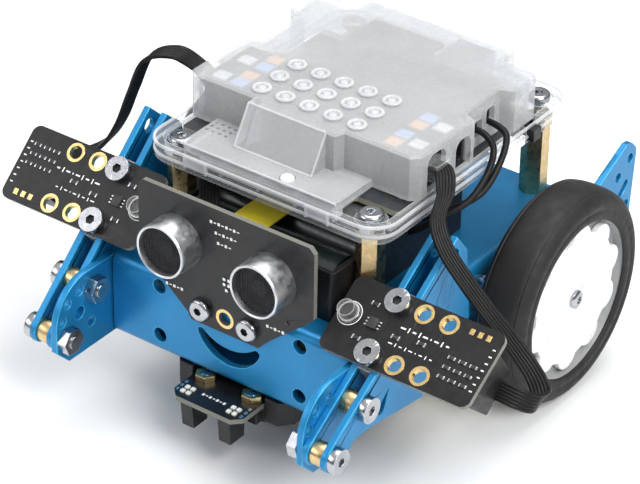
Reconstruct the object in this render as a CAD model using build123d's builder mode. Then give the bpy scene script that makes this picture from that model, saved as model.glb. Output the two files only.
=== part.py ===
from build123d import *
import math
import os

# A small two-wheeled robot: folded sheet chassis, gear-motors, a ball caster, an electronics
# case on standoffs over a battery holder, an ultrasonic sensor, a line sensor and two light
# sensors on tilted brackets.
# Frame (mm): origin on the ground under the middle of the wheel axle. The robot faces -Y,
# +X is the right-hand side seen from the front, +Z is up. A side is -1 (left) or 1 (right).

# ------------------------------------------------------------------ driving dimensions
SIDES = (-1, 1)
SHEET = 2.0                       # every folded aluminium sheet
BOARD = 1.6                       # every circuit board

WHEEL_R = 32.0
AXLE_Z = WHEEL_R
TYRE_IN, TYRE_OUT = 46.6, 62.6    # x of the tyre's sides

WALL_OUT = 43.0                   # outer face of the side walls
WALL_IN = WALL_OUT - SHEET
WALL_BOT = 21.5                   # lower edge of the walls and the front panel
DECK_TOP = 47.5
DECK_REAR = 25.0
PANEL_Y = -79.5                   # outer face of the front panel
SENSOR_Y = PANEL_Y - BOARD        # front face of the ultrasonic board

STAND_X = 32.0
STAND_SPOTS = [(x, y) for x in (-STAND_X, STAND_X) for y in (-59.2, 20.8)]

CASE_Z = 72.5                     # underside of the electronics case
CASE_FLOOR = 2.0
BOSS_H = 2.4
BOSS_TOP = CASE_Z + CASE_FLOOR + BOSS_H
POST_H = 1.5                      # posts under the control board
TRAY_TOP = CASE_Z + 6.0
SHELF_H = 2.3
LEDGE_Z = TRAY_TOP + SHELF_H
LID_Z = 92.1

M4_HOLE_R = 2.1
M4_SHANK_R = 1.98
M3_HOLE_R = 1.6
M3_SHANK_R = 1.48
M3_NUT_R = 2.75                   # across flats / 2
M3_NUT_HOLE_R = 1.5

MOTOR_SPOTS = [(-20.2, AXLE_Z - 8.75), (-20.2, AXLE_Z + 8.75)]    # (y, z)
PANEL_BOLTS = [(-8, 43.2), (8, 43.2)]                             # (x, z)
LINE_BOLTS = [(-8, -79.3), (8, -79.3)]                            # (x, y)
LIP_BOLTS = [(-16.4, -70), (16.4, -70)]                           # (x, y)

# Tilted brackets, each held by two bolts on a ring of holes in its cheek
RING_Y, RING_Z = -93.5, 34.9
BOLT_R = 8.0                      # radius at which the two bolts sit
BOLTS = [(0.0, 0), (-2 * BOLT_R, 0)]   # (along, proud) on the strip plane
TILT = {-1: 42.5, 1: 34.0}        # degrees
PLATE_IN = WALL_OUT               # |x| of the inboard faces of the two plates
PLATE_GAP = 4.0
PLATE_OUT = PLATE_IN + SHEET + PLATE_GAP
GAP_MID = PLATE_OUT - PLATE_GAP / 2
GAPS = ((-1, -PLATE_OUT), (1, PLATE_IN + SHEET))   # side, lower x of the gap
BOARD_SEAT = 4.0                  # back of a light board, proud of the bolt line
BOARD_FACE = BOARD_SEAT + BOARD
ROW_PITCH = 16.0
TOP_ROW = {-1: 32.0, 1: 28.2}     # upper hole row of each light board, along the bracket


# ------------------------------------------------------------------ helpers
def save(name, part):
    part.label = name
    export_step(part, f"parts/{name}.step")


def mirrored(part):
    """The same piece on the other side of the robot."""
    with BuildPart() as copy:
        mirror(part, about=Plane.YZ)
    return copy.part


def joined(parts):
    with BuildPart() as whole:
        for part in parts:
            add(part)
    return whole.part


def symmetric(half):
    """Closed outline from its +x half, listed from one end to the other."""
    return half + [(-x, y) for x, y in reversed(half)]


def near(a, b):
    return abs(a - b) < 1e-3


def bolt_spot(side, along, proud=0.0):
    """(y, z) of a point along a bracket from its upper bolt and proud of the bolt line."""
    tilt = math.radians(TILT[side])
    y = RING_Y + BOLT_R * math.cos(tilt)
    z = RING_Z + BOLT_R * math.sin(tilt)
    return (y + along * math.cos(tilt) - proud * math.sin(tilt),
            z + along * math.sin(tilt) + proud * math.cos(tilt))


def strip_plane(side, x):
    """Plane at x: local x along the bracket, local y proud of it, normal +X."""
    tilt = math.radians(TILT[side])
    return Plane(origin=(x, *bolt_spot(side, 0.0)),
                 x_dir=(0, math.cos(tilt), math.sin(tilt)), z_dir=(1, 0, 0))


def board_plane(side, proud):
    """Plane of a light board: local x outboard, normal proud of the bracket."""
    tilt = math.radians(TILT[side])
    return Plane(origin=(0, *bolt_spot(side, 0.0, proud)),
                 x_dir=(side, 0, 0), z_dir=(0, -math.sin(tilt), math.cos(tilt)))


def board_rows(side):
    """The two hole rows of a light board, along the bracket."""
    return (TOP_ROW[side], TOP_ROW[side] - ROW_PITCH)


def board_bolts(side):
    """The two board screws on a board plane, over the gap between the bracket plates."""
    return [(GAP_MID, side * row) for row in board_rows(side)]


def hex_screws(plane, spots, head, shank, socket, out=1, rim=0.0):
    """Screws seated on a plane, heads on its out side.

    head and shank are (radius, length), socket is (across flats / 2, depth), and rim
    is the rounding of the head.
    """
    with BuildPart() as screws:
        with BuildSketch(plane):
            with Locations(*spots):
                Circle(head[0])
        extrude(amount=out * head[1])
        with BuildSketch(plane):
            with Locations(*spots):
                Circle(shank[0])
        extrude(amount=-out * shank[1])
        with BuildSketch(plane.offset(out * head[1])):
            with Locations(*spots):
                RegularPolygon(socket[0], 6, major_radius=False)
        extrude(amount=-out * socket[1], mode=Mode.SUBTRACT)
        if rim:
            outward = Axis((0, 0, 0), plane.z_dir * out)
            fillet(edges().filter_by(GeomType.CIRCLE).group_by(outward)[-1], radius=rim)
    return screws.part


def gear_points(teeth, root, tip, turn, thin=0.0):
    """Closed outline of a spur gear with straight-flanked teeth."""
    pitch = 2 * math.pi / teeth
    root_half = pitch * 0.56 / 2 - thin / root
    tip_half = pitch * 0.22 / 2
    corners = ((-root_half, root), (-tip_half, tip), (tip_half, tip), (root_half, root))
    points = []
    for i in range(teeth):
        middle = turn + i * pitch
        for angle, radius in corners:
            points.append((radius * math.cos(middle + angle), radius * math.sin(middle + angle)))
    return points


def cables(routes, radius):
    """Round cables swept along splines through the points of each route."""
    with BuildPart() as runs:
        for route in routes:
            with BuildLine() as run:
                Spline(*route)
            with BuildSketch(Plane(origin=run.line @ 0, z_dir=run.line % 0)):
                Circle(radius)
            sweep(path=run.line)
    return runs.part


# ------------------------------------------------------------------ chassis
BEND_R = 3.0
WALLS = ((-1, -WALL_OUT), (1, WALL_IN))   # side, lower x of the sheet
PANEL_HALF_W = 40.5
DECK_FRONT = -74.0
PANEL_FLANGE_Y = -72   # rear edge of the strip joining the panel to the deck
LIP_REAR = -62
CHEEK_TOP = 46.6

# Deck and side walls (x, z), +x half
DECK_HALF = [(WALL_OUT, DECK_TOP), (WALL_OUT, WALL_BOT), (WALL_IN, WALL_BOT),
             (WALL_IN, DECK_TOP - SHEET)]
# Front panel with its upper bend and foot lip (y, z)
PANEL_PROFILE = [
    (PANEL_FLANGE_Y, DECK_TOP), (PANEL_Y, DECK_TOP), (PANEL_Y, WALL_BOT),
    (LIP_REAR, WALL_BOT), (LIP_REAR, WALL_BOT + SHEET), (PANEL_Y + SHEET, WALL_BOT + SHEET),
    (PANEL_Y + SHEET, DECK_TOP - SHEET), (PANEL_FLANGE_Y, DECK_TOP - SHEET)]
# Straight edges of a cheek (y, z); an arc closes it over the top
CHEEK_EDGES = [(DECK_FRONT, CHEEK_TOP), (DECK_FRONT, WALL_BOT), (-98.4, WALL_BOT),
               (-103.3, 26.4), (-103.3, 33.2)]
CHEEK_ARC_END = (-89.9, CHEEK_TOP)
CHEEK_ARC_R = 13.4
# Fin behind each wall (y, z)
FIN_OUTLINE = [
    (DECK_REAR, WALL_BOT), (57.6, WALL_BOT), (58.6, 32.5), (59.6, 44.6), (59.4, 46.8),
    (57.0, 49.4), (54.2, 49.9), (50.5, 48.0), (39.6, 42.7), (29, 42.7), (DECK_REAR, 44.4)]
# Smile-shaped slot: start, middle and end of each arc (x, z)
SMILE_ARCS = [
    ((-10.6, 34.3), (0.0, 27.1), (10.6, 34.3)),
    ((10.6, 34.3), (10.0, 35.6), (8.4, 35.3)),
    ((8.4, 35.3), (0.0, 32.4), (-8.4, 35.3)),
    ((-8.4, 35.3), (-10.0, 35.6), (-10.6, 34.3))]
PANEL_FREE_HOLES = [(-24, 43.2), (24, 43.2), (-24, 27.2), (24, 27.2)]   # (x, z)
WALL_FREE_HOLES = [(20, 32), (20, 40), (-47, 32), (-63, 32)]            # (y, z)
FIN_HOLES = [(56.4, 44.4), (50.2, 40.6), (55.6, 29.0), (46.6, 29.0)]    # (y, z)
RING_HOLE_R = 7.2
RING_HOLE_ANGLES = (45, 90, 135, 270)   # degrees from the tilt of the bracket


def chassis():
    """One folded sheet: deck, walls with a cheek in front and a fin behind, front panel."""
    with BuildPart() as sheet:
        # deck and side walls
        with BuildSketch(Plane.XZ.offset(-DECK_REAR)):
            with BuildLine():
                Polyline(*symmetric(DECK_HALF), close=True)
            make_face()
            fillet(vertices().group_by(Axis.Y)[-1], radius=BEND_R)
            fillet([v for v in vertices()
                    if near(v.Y, DECK_TOP - SHEET) and near(abs(v.X), WALL_IN)],
                   radius=BEND_R - SHEET)
        extrude(amount=DECK_REAR - DECK_FRONT)
        # front panel and the lip turned in at its foot
        with BuildSketch(Plane.YZ.offset(-PANEL_HALF_W)):
            with BuildLine():
                Polyline(*PANEL_PROFILE, close=True)
            make_face()
            fillet([v for v in vertices() if near(v.X, PANEL_Y) and v.Y > 40], radius=BEND_R)
            fillet([v for v in vertices() if near(v.X, PANEL_Y) and v.Y < 24], radius=2.4)
            fillet([v for v in vertices() if near(v.X, PANEL_Y + SHEET)], radius=0.8)
        extrude(amount=2 * PANEL_HALF_W)
        # cheeks in front, fins behind
        for _, wall_x in WALLS:
            with BuildSketch(Plane.YZ.offset(wall_x)):
                with BuildLine():
                    straight = Polyline(*CHEEK_EDGES)
                    RadiusArc(straight @ 1, CHEEK_ARC_END, CHEEK_ARC_R)
                    Line(CHEEK_ARC_END, (DECK_FRONT, CHEEK_TOP))
                make_face()
            extrude(amount=SHEET)
            with BuildSketch(Plane.YZ.offset(wall_x)):
                with BuildLine():
                    Polyline(*FIN_OUTLINE, close=True)
                make_face()
                fillet([v for v in vertices() if v.X > 56 and v.Y > 44]
                       + [v for v in vertices() if abs(v.X - 39.6) < 0.1], radius=1.1)
                fillet([v for v in vertices() if v.X > 57 and v.Y < 22], radius=3.0)
            extrude(amount=SHEET)
        # deck holes: four standoffs and a square of four near the middle
        with Locations(Plane.XY.offset(DECK_TOP)):
            with Locations(*STAND_SPOTS):
                Hole(radius=M4_HOLE_R, depth=SHEET)
            with Locations(*[(x, y) for x in (-8, 8) for y in (0, 16)]):
                Hole(radius=M4_HOLE_R, depth=SHEET)
        # front panel: four free holes, two sensor screws, smile-shaped slot
        with BuildSketch(Plane.XZ.offset(-PANEL_Y)):
            with Locations(*PANEL_FREE_HOLES):
                Circle(2.2)
            with Locations(*PANEL_BOLTS):
                Circle(1.5)
            with BuildLine():
                for arc in SMILE_ARCS:
                    ThreePointArc(*arc)
            make_face()
        extrude(amount=-SHEET, mode=Mode.SUBTRACT)
        # lip holes for the caster housing
        with BuildSketch(Plane.XY.offset(WALL_BOT)):
            with Locations(*LIP_BOLTS):
                Circle(M3_HOLE_R)
        extrude(amount=SHEET, mode=Mode.SUBTRACT)
        # wall and fin holes: shaft, motor screws, free holes, slanted slot
        for _, wall_x in WALLS:
            with BuildSketch(Plane.YZ.offset(wall_x)):
                with Locations((0, AXLE_Z)):
                    Circle(4.5)
                with Locations(*MOTOR_SPOTS):
                    Circle(M3_HOLE_R)
                with Locations(*WALL_FREE_HOLES):
                    Circle(2.1)
                with Locations(*FIN_HOLES):
                    Circle(1.6)
                with Locations((53.4, 35.3)):
                    SlotOverall(6.4, 2.6, rotation=42)
            extrude(amount=SHEET, mode=Mode.SUBTRACT)
        # cheek holes: centre, ring and the two bracket bolts
        for side, wall_x in WALLS:
            with BuildSketch(Plane.YZ.offset(wall_x)):
                with Locations((RING_Y, RING_Z)):
                    Circle(2.0)
                for turn in RING_HOLE_ANGLES:
                    angle = math.radians(TILT[side] + turn)
                    with Locations((RING_Y + RING_HOLE_R * math.cos(angle),
                                    RING_Z + RING_HOLE_R * math.sin(angle))):
                        Circle(1.55)
                with Locations(*[bolt_spot(side, *bolt) for bolt in BOLTS]):
                    Circle(M4_HOLE_R)
            extrude(amount=SHEET, mode=Mode.SUBTRACT)
    return sheet.part


# ------------------------------------------------------------------ standoffs
STAND_FLATS = 7.0


def standoffs():
    with BuildPart() as posts:
        with BuildSketch(Plane.XY.offset(DECK_TOP)):
            with Locations(*STAND_SPOTS):
                RegularPolygon(STAND_FLATS / 2, 6, major_radius=False, rotation=30)
                Circle(2.0, mode=Mode.SUBTRACT)
        extrude(amount=CASE_Z - DECK_TOP)
    return posts.part


def standoff_screws():
    """Four screws up through the deck and four down through the case bosses."""
    lower = hex_screws(Plane.XY.offset(DECK_TOP - SHEET), STAND_SPOTS, out=-1,
                       head=(3.6, 2.0), shank=(M4_SHANK_R, 8.0), socket=(1.25, 1.4), rim=1.0)
    upper = hex_screws(Plane.XY.offset(BOSS_TOP), STAND_SPOTS,
                       head=(3.6, 2.2), shank=(M4_SHANK_R, 11.0), socket=(1.25, 1.5), rim=1.1)
    return joined([lower, upper])


# ------------------------------------------------------------------ electronics case, lower tray
TRAY_FRONT, TRAY_REAR = -66.4, 27.2
TRAY_MID = (TRAY_FRONT + TRAY_REAR) / 2
TRAY_L = TRAY_REAR - TRAY_FRONT
TRAY_W = 80.0
TRAY_WALL = 2.5
POST_SPOTS = [(x, y) for x in (-33, 33) for y in (-46.5, -5)]


def case_base():
    with BuildPart() as tray:
        with BuildSketch(Plane.XY.offset(CASE_Z)):
            with Locations((0, TRAY_MID)):
                RectangleRounded(TRAY_W, TRAY_L, 8.0)
        extrude(amount=TRAY_TOP - CASE_Z)
        chamfer(edges().group_by(Axis.Z)[0], length=1.0)
        with BuildSketch(Plane.XY.offset(CASE_Z + CASE_FLOOR)):
            with Locations((0, TRAY_MID)):
                RectangleRounded(TRAY_W - 2 * TRAY_WALL, TRAY_L - 2 * TRAY_WALL, 5.6)
        extrude(amount=TRAY_TOP - CASE_Z - CASE_FLOOR, mode=Mode.SUBTRACT)
        # corner bosses under the case screws, tied to the side walls
        with BuildSketch(Plane.XY.offset(CASE_Z + CASE_FLOOR)):
            with Locations(*STAND_SPOTS):
                Circle(4.6)
            with Locations(*[(math.copysign(34.9, x), y) for x, y in STAND_SPOTS]):
                Rectangle(6.0, 2.0)
        extrude(amount=BOSS_H)
        # posts under the control board
        with BuildSketch(Plane.XY.offset(CASE_Z + CASE_FLOOR)):
            with Locations(*POST_SPOTS):
                Circle(2.2)
        extrude(amount=POST_H)
        # screw holes and a slot in the floor
        with BuildSketch(Plane.XY.offset(CASE_Z)):
            with Locations(*STAND_SPOTS):
                Circle(M4_HOLE_R)
            with Locations((0, -30)):
                SlotOverall(24, 4)
        extrude(amount=8.0, mode=Mode.SUBTRACT)
        # opening for the switch knob in the right wall
        with BuildSketch(Plane.YZ.offset(36.0)):
            with Locations((6.6, 76.2)):
                Rectangle(7.2, 4.6)
        extrude(amount=6.0, mode=Mode.SUBTRACT)
    return tray.part


# ------------------------------------------------------------------ electronics case, upper cover
COVER_WALL = 1.7
# Plan of the lid (x, y), +x half from front to back
LID_PLAN = symmetric([
    (13.8, -51.4), (15.0, -48.4), (36.3, -48.4), (38.5, -46.2), (38.5, -21.2), (34.6, -19.4),
    (34.6, -3.2), (38.5, -1.4), (38.5, 8.6), (36.5, 10.8), (27.2, 10.8), (25.6, 12.4),
    (25.6, 17.4), (23.8, 19.2)])
# Low shelf in front of the lid (x, y)
SHELF_PLAN = [(-28.0, -64.6), (24.4, -64.6), (24.4, -46.5), (-28.0, -46.5)]
# Sloping block between shelf and lid, and the hollow in it (y, z)
SLOPE_PROFILE = [(-51.3, LID_Z), (-57.6, LEDGE_Z), (-47.0, LEDGE_Z), (-47.0, LID_Z)]
SLOPE_HOLLOW = [(-49.6, LID_Z - COVER_WALL), (-55.8, TRAY_TOP), (-46.0, TRAY_TOP),
                (-46.0, LID_Z - COVER_WALL)]
# Socket openings in both side walls: y, z, width, height
SOCKET_OPENINGS = [(-38.8, 84.6, 8.6, 11.0), (-26.2, 83.6, 7.2, 9.6)]
BUTTON = (6.0, -61.6)


def case_cover():
    with BuildPart() as cover:
        with BuildSketch(Plane.XY.offset(TRAY_TOP)):
            with BuildLine():
                Polyline(*LID_PLAN, close=True)
            make_face()
        extrude(amount=LID_Z - TRAY_TOP)
        chamfer(edges().group_by(Axis.Z)[-1], length=0.7)
        # low front shelf
        with BuildSketch(Plane.XY.offset(TRAY_TOP)):
            with BuildLine():
                Polyline(*SHELF_PLAN, close=True)
            make_face()
            fillet(vertices().group_by(Axis.Y)[0], radius=2.0)
        extrude(amount=SHELF_H)
        # sloping block
        with BuildSketch(Plane.YZ.offset(-15.0)):
            with BuildLine():
                Polyline(*SLOPE_PROFILE, close=True)
            make_face()
        extrude(amount=26.0)
        # rear skirt over the tray
        with BuildSketch(Plane.XY.offset(TRAY_TOP)):
            with Locations((0, 14.0)):
                RectangleRounded(52.0, 17.0, 2.0)
        extrude(amount=SHELF_H)
        # hollow under the lid, the slope and the shelf, open at the foot
        with BuildSketch(Plane.XY.offset(TRAY_TOP)):
            with BuildLine():
                Polyline(*LID_PLAN, close=True)
            make_face()
            offset(amount=-COVER_WALL, kind=Kind.INTERSECTION, mode=Mode.REPLACE)
        extrude(amount=LID_Z - COVER_WALL - TRAY_TOP, mode=Mode.SUBTRACT)
        with BuildSketch(Plane.YZ.offset(-13.4)):
            with BuildLine():
                Polyline(*SLOPE_HOLLOW, close=True)
            make_face()
        extrude(amount=22.8, mode=Mode.SUBTRACT)
        with BuildSketch(Plane.XY.offset(TRAY_TOP)):
            with Locations((-1.8, -56.0)):
                Rectangle(49.0, 14.0)
        extrude(amount=1.0, mode=Mode.SUBTRACT)
        # raised dots on the lid
        with BuildSketch(Plane.XY.offset(LID_Z)):
            with Locations((0, -36.1)):
                with GridLocations(8, 8, 5, 3):
                    Circle(2.3)
        extrude(amount=0.8)
        # socket openings, cut right across
        for y, z, width, height in SOCKET_OPENINGS:
            with BuildSketch(Plane.YZ.offset(-TRAY_W / 2)):
                with Locations((y, z)):
                    Rectangle(width, height)
                fillet(vertices().group_by(Axis.Y)[-1], radius=3.0)
            extrude(amount=TRAY_W, mode=Mode.SUBTRACT)
        # slots for the battery leads in the right recess wall
        with BuildSketch(Plane.YZ.offset(32.0)):
            with Locations((-13.5, 84.0), (-7.5, 85.5)):
                RectangleRounded(4.0, 5.0, 1.2)
        extrude(amount=5.0, mode=Mode.SUBTRACT)
        # button hole and a grid of small holes in the shelf
        with BuildSketch(Plane.XY.offset(TRAY_TOP)):
            with Locations(BUTTON):
                Circle(2.3)
            with Locations((-23.5, -52.6)):
                with GridLocations(2.2, 2.2, 4, 3):
                    Circle(0.6)
        extrude(amount=3.0, mode=Mode.SUBTRACT)
        # USB window at the back
        with BuildSketch(Plane.XZ.offset(-22.0)):
            with Locations((13.0, 83.2)):
                Rectangle(12.6, 11.4)
        extrude(amount=10.0, mode=Mode.SUBTRACT)
    return cover.part


# ------------------------------------------------------------------ control board and its parts
PCB_Z = CASE_Z + CASE_FLOOR + POST_H
PCB_TOP = PCB_Z + BOARD
# Board outline (x, y)
PCB_OUTLINE = [
    (-26.5, -63.0), (22.5, -63.0), (22.5, -53.5), (36.6, -53.5), (36.6, 1.0), (31.0, 1.0),
    (31.0, 12.6), (26.0, 12.6), (26.0, 20.5), (-26.0, 20.5), (-26.0, 13.0), (-36.6, 13.0),
    (-36.6, -53.5), (-26.5, -53.5)]
# Chips: width, depth, centres (x, y)
CHIPS = [
    (9, 9, [(0, -22)]),
    (5, 6.4, [(-12, -22), (13, -8)]),
    (4, 3, [(12, -30), (-1, -36)]),
    (5, 5, [(-9, -60), (15, -60)]),
    (5, 10, [(-24, -10), (17, -22)])]
USB_X = 13.0
MODULE_X = -9.0
HEADER_H, MODULE_T = 7.0, 1.4
BUZZER = (-13.0, -40.0)
BUZZER_H = 8.0


def control_board():
    with BuildPart() as board:
        with BuildSketch(Plane.XY.offset(PCB_Z)):
            with BuildLine():
                Polyline(*PCB_OUTLINE, close=True)
            make_face()
            fillet(vertices(), radius=1.0)
            with Locations(*POST_SPOTS):
                Circle(1.2, mode=Mode.SUBTRACT)
        extrude(amount=BOARD)
    return board.part


def board_sockets():
    """Four cable sockets, mouths facing outboard, each with a key slot under the mouth."""
    with BuildPart() as sockets:
        for side in SIDES:
            for y in (-38.8, -27.4):
                with BuildSketch(Plane.XY.offset(PCB_TOP)):
                    with Locations((side * 29.6, y)):
                        Rectangle(13.6, 9.2)
                extrude(amount=11.6)
                with BuildSketch(Plane.YZ.offset(side * 36.4)):
                    with Locations((y, PCB_TOP + 6.4)):
                        Rectangle(7.2, 7.0)
                    with Locations((y, PCB_TOP + 2.6)):
                        Rectangle(4.0, 1.6)
                extrude(amount=-side * 9.0, mode=Mode.SUBTRACT)
    return sockets.part


def usb_socket():
    """Socket open to the rear, with a tongue in its mouth."""
    with BuildPart() as socket:
        with BuildSketch(Plane.XY.offset(PCB_TOP)):
            with Locations((USB_X, 10.6)):
                Rectangle(12.0, 15.0)
        extrude(amount=10.8)
        with BuildSketch(Plane.XZ.offset(-18.1)):
            with Locations((USB_X, PCB_TOP + 5.6)):
                Rectangle(8.6, 7.8)
                Rectangle(6.0, 4.0, mode=Mode.SUBTRACT)
        extrude(amount=8.0, mode=Mode.SUBTRACT)
    return socket.part


def battery_socket():
    """Two-way socket facing the right recess of the cover."""
    with BuildPart() as socket:
        with BuildSketch(Plane.XY.offset(PCB_TOP)):
            with Locations((28.4, -10.5)):
                Rectangle(7.6, 12.0)
        extrude(amount=9.6)
        with BuildSketch(Plane.YZ.offset(32.2)):
            with Locations((-13.5, 83.4), (-7.5, 83.4)):
                Rectangle(4.4, 6.0)
        extrude(amount=-5.0, mode=Mode.SUBTRACT)
    return socket.part


def board_chips():
    with BuildPart() as chips:
        with BuildSketch(Plane.XY.offset(PCB_TOP)):
            for width, depth, centres in CHIPS:
                with Locations(*centres):
                    Rectangle(width, depth)
        extrude(amount=1.5)
    return chips.part


def wireless_module():
    """Small board with a shield can, plugged onto two header strips."""
    with BuildPart() as module:
        with BuildSketch(Plane.XY.offset(PCB_TOP)):
            with Locations((MODULE_X - 10, 8.0), (MODULE_X + 10, 8.0)):
                Rectangle(2.4, 8.0)
        extrude(amount=HEADER_H)
        with BuildSketch(Plane.XY.offset(PCB_TOP + HEADER_H)):
            with Locations((MODULE_X, 8.0)):
                Rectangle(24.0, 16.0)
        extrude(amount=MODULE_T)
        with BuildSketch(Plane.XY.offset(PCB_TOP + HEADER_H + MODULE_T)):
            with Locations((MODULE_X, 6.4)):
                Rectangle(16.0, 11.0)
        extrude(amount=1.6)
    return module.part


def buzzer():
    with BuildPart() as can:
        with BuildSketch(Plane.XY.offset(PCB_TOP)):
            with Locations(BUZZER):
                Circle(5.6)
        extrude(amount=BUZZER_H)
        with BuildSketch(Plane.XY.offset(PCB_TOP + BUZZER_H)):
            with Locations(BUZZER):
                Circle(1.0)
        extrude(amount=-2.0, mode=Mode.SUBTRACT)
    return can.part


def push_button_body():
    with BuildPart() as body:
        with BuildSketch(Plane.XY.offset(PCB_TOP)):
            with Locations(BUTTON):
                Rectangle(4.4, 3.2)
                Circle(1.1, mode=Mode.SUBTRACT)
        extrude(amount=0.9)
    return body.part


def push_button_cap():
    """Stem in the button body and a rounded cap through the shelf."""
    with BuildPart() as cap:
        with BuildSketch(Plane.XY.offset(PCB_TOP + 0.55)):
            with Locations(BUTTON):
                Circle(1.04)
        extrude(amount=1.2)
        with BuildSketch(Plane.XY.offset(PCB_TOP + 1.5)):
            with Locations(BUTTON):
                Circle(2.0)
        extrude(amount=2.2)
        fillet(edges().filter_by(GeomType.CIRCLE).group_by(Axis.Z)[-1], radius=0.8)
    return cap.part


def power_switch_body():
    """Slide switch in the notch of the board's right edge, open outboard."""
    with BuildPart() as body:
        with BuildSketch(Plane.XY.offset(CASE_Z + 2.1)):
            with Locations((34.2, 6.7)):
                Rectangle(6.0, 10.2)
        extrude(amount=3.8)
        with BuildSketch(Plane.YZ.offset(33.0)):
            with Locations((6.65, 76.4)):
                Rectangle(8.2, 3.0)
        extrude(amount=6.0, mode=Mode.SUBTRACT)
    return body.part


def power_switch_knob():
    """Knob through the tray wall on a stem from inside the switch."""
    knob_y = 5.4
    with BuildPart() as knob:
        with BuildSketch(Plane.YZ.offset(39.3)):
            with Locations((knob_y, 76.1)):
                RectangleRounded(3.8, 3.8, 0.4)
        extrude(amount=2.8)
        with BuildSketch(Plane.YZ.offset(33.3)):
            with Locations((knob_y, 76.4)):
                Rectangle(2.6, 2.6)
        extrude(amount=6.4)
    return knob.part


# ------------------------------------------------------------------ battery holder with four cells
CELL_R, CELL_L, CELL_Z = 7.15, 50.5, DECK_TOP + 8.3
CELL_Y = (-61.6, -46.9, -32.2, -17.5)
HOLDER_Y = -39.5
HOLDER_H = 15.7
HOLDER_FLOOR = 1.1


def battery_holder():
    with BuildPart() as holder:
        with BuildSketch(Plane.XY.offset(DECK_TOP)):
            with Locations((0, HOLDER_Y)):
                RectangleRounded(56.2, 61.6, 1.6)
        extrude(amount=HOLDER_H)
        with BuildSketch(Plane.XY.offset(DECK_TOP + HOLDER_FLOOR)):
            with Locations((0, -39.55)):
                Rectangle(53.4, 58.9)
        extrude(amount=HOLDER_H, mode=Mode.SUBTRACT)
        # notches in the front and rear walls
        with BuildSketch(Plane.XZ.offset(80)):
            with Locations((0, DECK_TOP + HOLDER_H)):
                RectangleRounded(18.0, 9.0, 3.0)
        extrude(amount=-80.0, mode=Mode.SUBTRACT)
    return holder.part


def battery_cells():
    """Cells lying across the robot, their end buttons alternating left and right."""
    with BuildPart() as cells:
        for i, y in enumerate(CELL_Y):
            end = 1 if i % 2 else -1
            with BuildSketch(Plane.YZ.offset(-CELL_L / 2)):
                with Locations((y, CELL_Z)):
                    Circle(CELL_R)
            extrude(amount=CELL_L)
            with BuildSketch(Plane.YZ.offset(end * CELL_L / 2)):
                with Locations((y, CELL_Z)):
                    Circle(2.7)
            extrude(amount=end * 1.0)
    return cells.part


def battery_strip():
    """Pull strip lying across the cells."""
    with BuildPart() as strip:
        with BuildSketch(Plane.XY.offset(CELL_Z + CELL_R)):
            with Locations((-5.6, HOLDER_Y)):
                Rectangle(11.4, 56.0)
        extrude(amount=0.4)
    return strip.part


# ------------------------------------------------------------------ gear-motors, right-hand pieces
GEARBOX_IN = 22.2                 # x of the inboard face; the outboard face is on the wall
MOTOR_X = (GEARBOX_IN + WALL_IN) / 2
MOTOR_FRONT, MOTOR_REAR = 58.0, 37.0   # distances in front of the axle
IDLER_Y = -11.55
SHAFT_R = 2.7
SHAFT_IN = 23.2


def gearbox():
    with BuildPart() as box:
        with BuildSketch(Plane.YZ.offset(GEARBOX_IN)):
            with Locations((-12.9, AXLE_Z)):
                RectangleRounded(48.2, 22.3, 2.5)
        extrude(amount=WALL_IN - GEARBOX_IN)
        # chamber for both gears
        with BuildSketch(Plane.YZ.offset(25.0)):
            with Locations((-0.1, AXLE_Z)):
                Rectangle(19.4, 19.0)
            with Locations((IDLER_Y, AXLE_Z)):
                Circle(8.5)
        extrude(amount=11.0, mode=Mode.SUBTRACT)
        # bores for the output shaft, the idler pin and the motor screws
        with BuildSketch(Plane.YZ.offset(23.0)):
            with Locations((0, AXLE_Z)):
                Circle(SHAFT_R + 0.05)
        extrude(amount=30.0, mode=Mode.SUBTRACT)
        with BuildSketch(Plane.YZ.offset(23.2)):
            with Locations((IDLER_Y, AXLE_Z)):
                Circle(1.05)
        extrude(amount=14.8, mode=Mode.SUBTRACT)
        with BuildSketch(Plane.YZ.offset(GEARBOX_IN)):
            with Locations(*MOTOR_SPOTS):
                Circle(1.55)
        extrude(amount=20.0, mode=Mode.SUBTRACT)
    return box.part


def motor_cans():
    """Round cans with two flats and an end boss, on both sides."""
    with BuildPart() as cans:
        with BuildSketch(Plane.XZ.offset(MOTOR_REAR)):
            with Locations((MOTOR_X, AXLE_Z)):
                Circle(10.2)
                Rectangle(15.4, 30.0, mode=Mode.INTERSECT)
        extrude(amount=MOTOR_FRONT - MOTOR_REAR)
        with BuildSketch(Plane.XZ.offset(MOTOR_FRONT)):
            with Locations((MOTOR_X, AXLE_Z)):
                Circle(3.2)
        extrude(amount=1.6)
        mirror(about=Plane.YZ)
    return cans.part


def motor_screws():
    """Cross-head screws through wall and gearbox."""
    head_h = 2.0
    with BuildPart() as screws:
        for side in SIDES:
            with BuildSketch(Plane.YZ.offset(side * WALL_OUT)):
                with Locations(*MOTOR_SPOTS):
                    Circle(2.75)
            extrude(amount=side * head_h)
            with BuildSketch(Plane.YZ.offset(side * WALL_OUT)):
                with Locations(*MOTOR_SPOTS):
                    Circle(M3_SHANK_R)
            extrude(amount=-side * 24.0)
            with BuildSketch(Plane.YZ.offset(side * (WALL_OUT + head_h))):
                with Locations(*MOTOR_SPOTS):
                    Rectangle(3.4, 0.7)
                    Rectangle(0.7, 3.4)
            extrude(amount=-side * 1.1, mode=Mode.SUBTRACT)
    return screws.part


def motor_nuts():
    with BuildPart() as nuts:
        for side in SIDES:
            with BuildSketch(Plane.YZ.offset(side * GEARBOX_IN)):
                with Locations(*MOTOR_SPOTS):
                    RegularPolygon(M3_NUT_R, 6, major_radius=False)
                    Circle(M3_NUT_HOLE_R, mode=Mode.SUBTRACT)
            extrude(amount=-side * 2.4)
    return nuts.part


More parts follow.
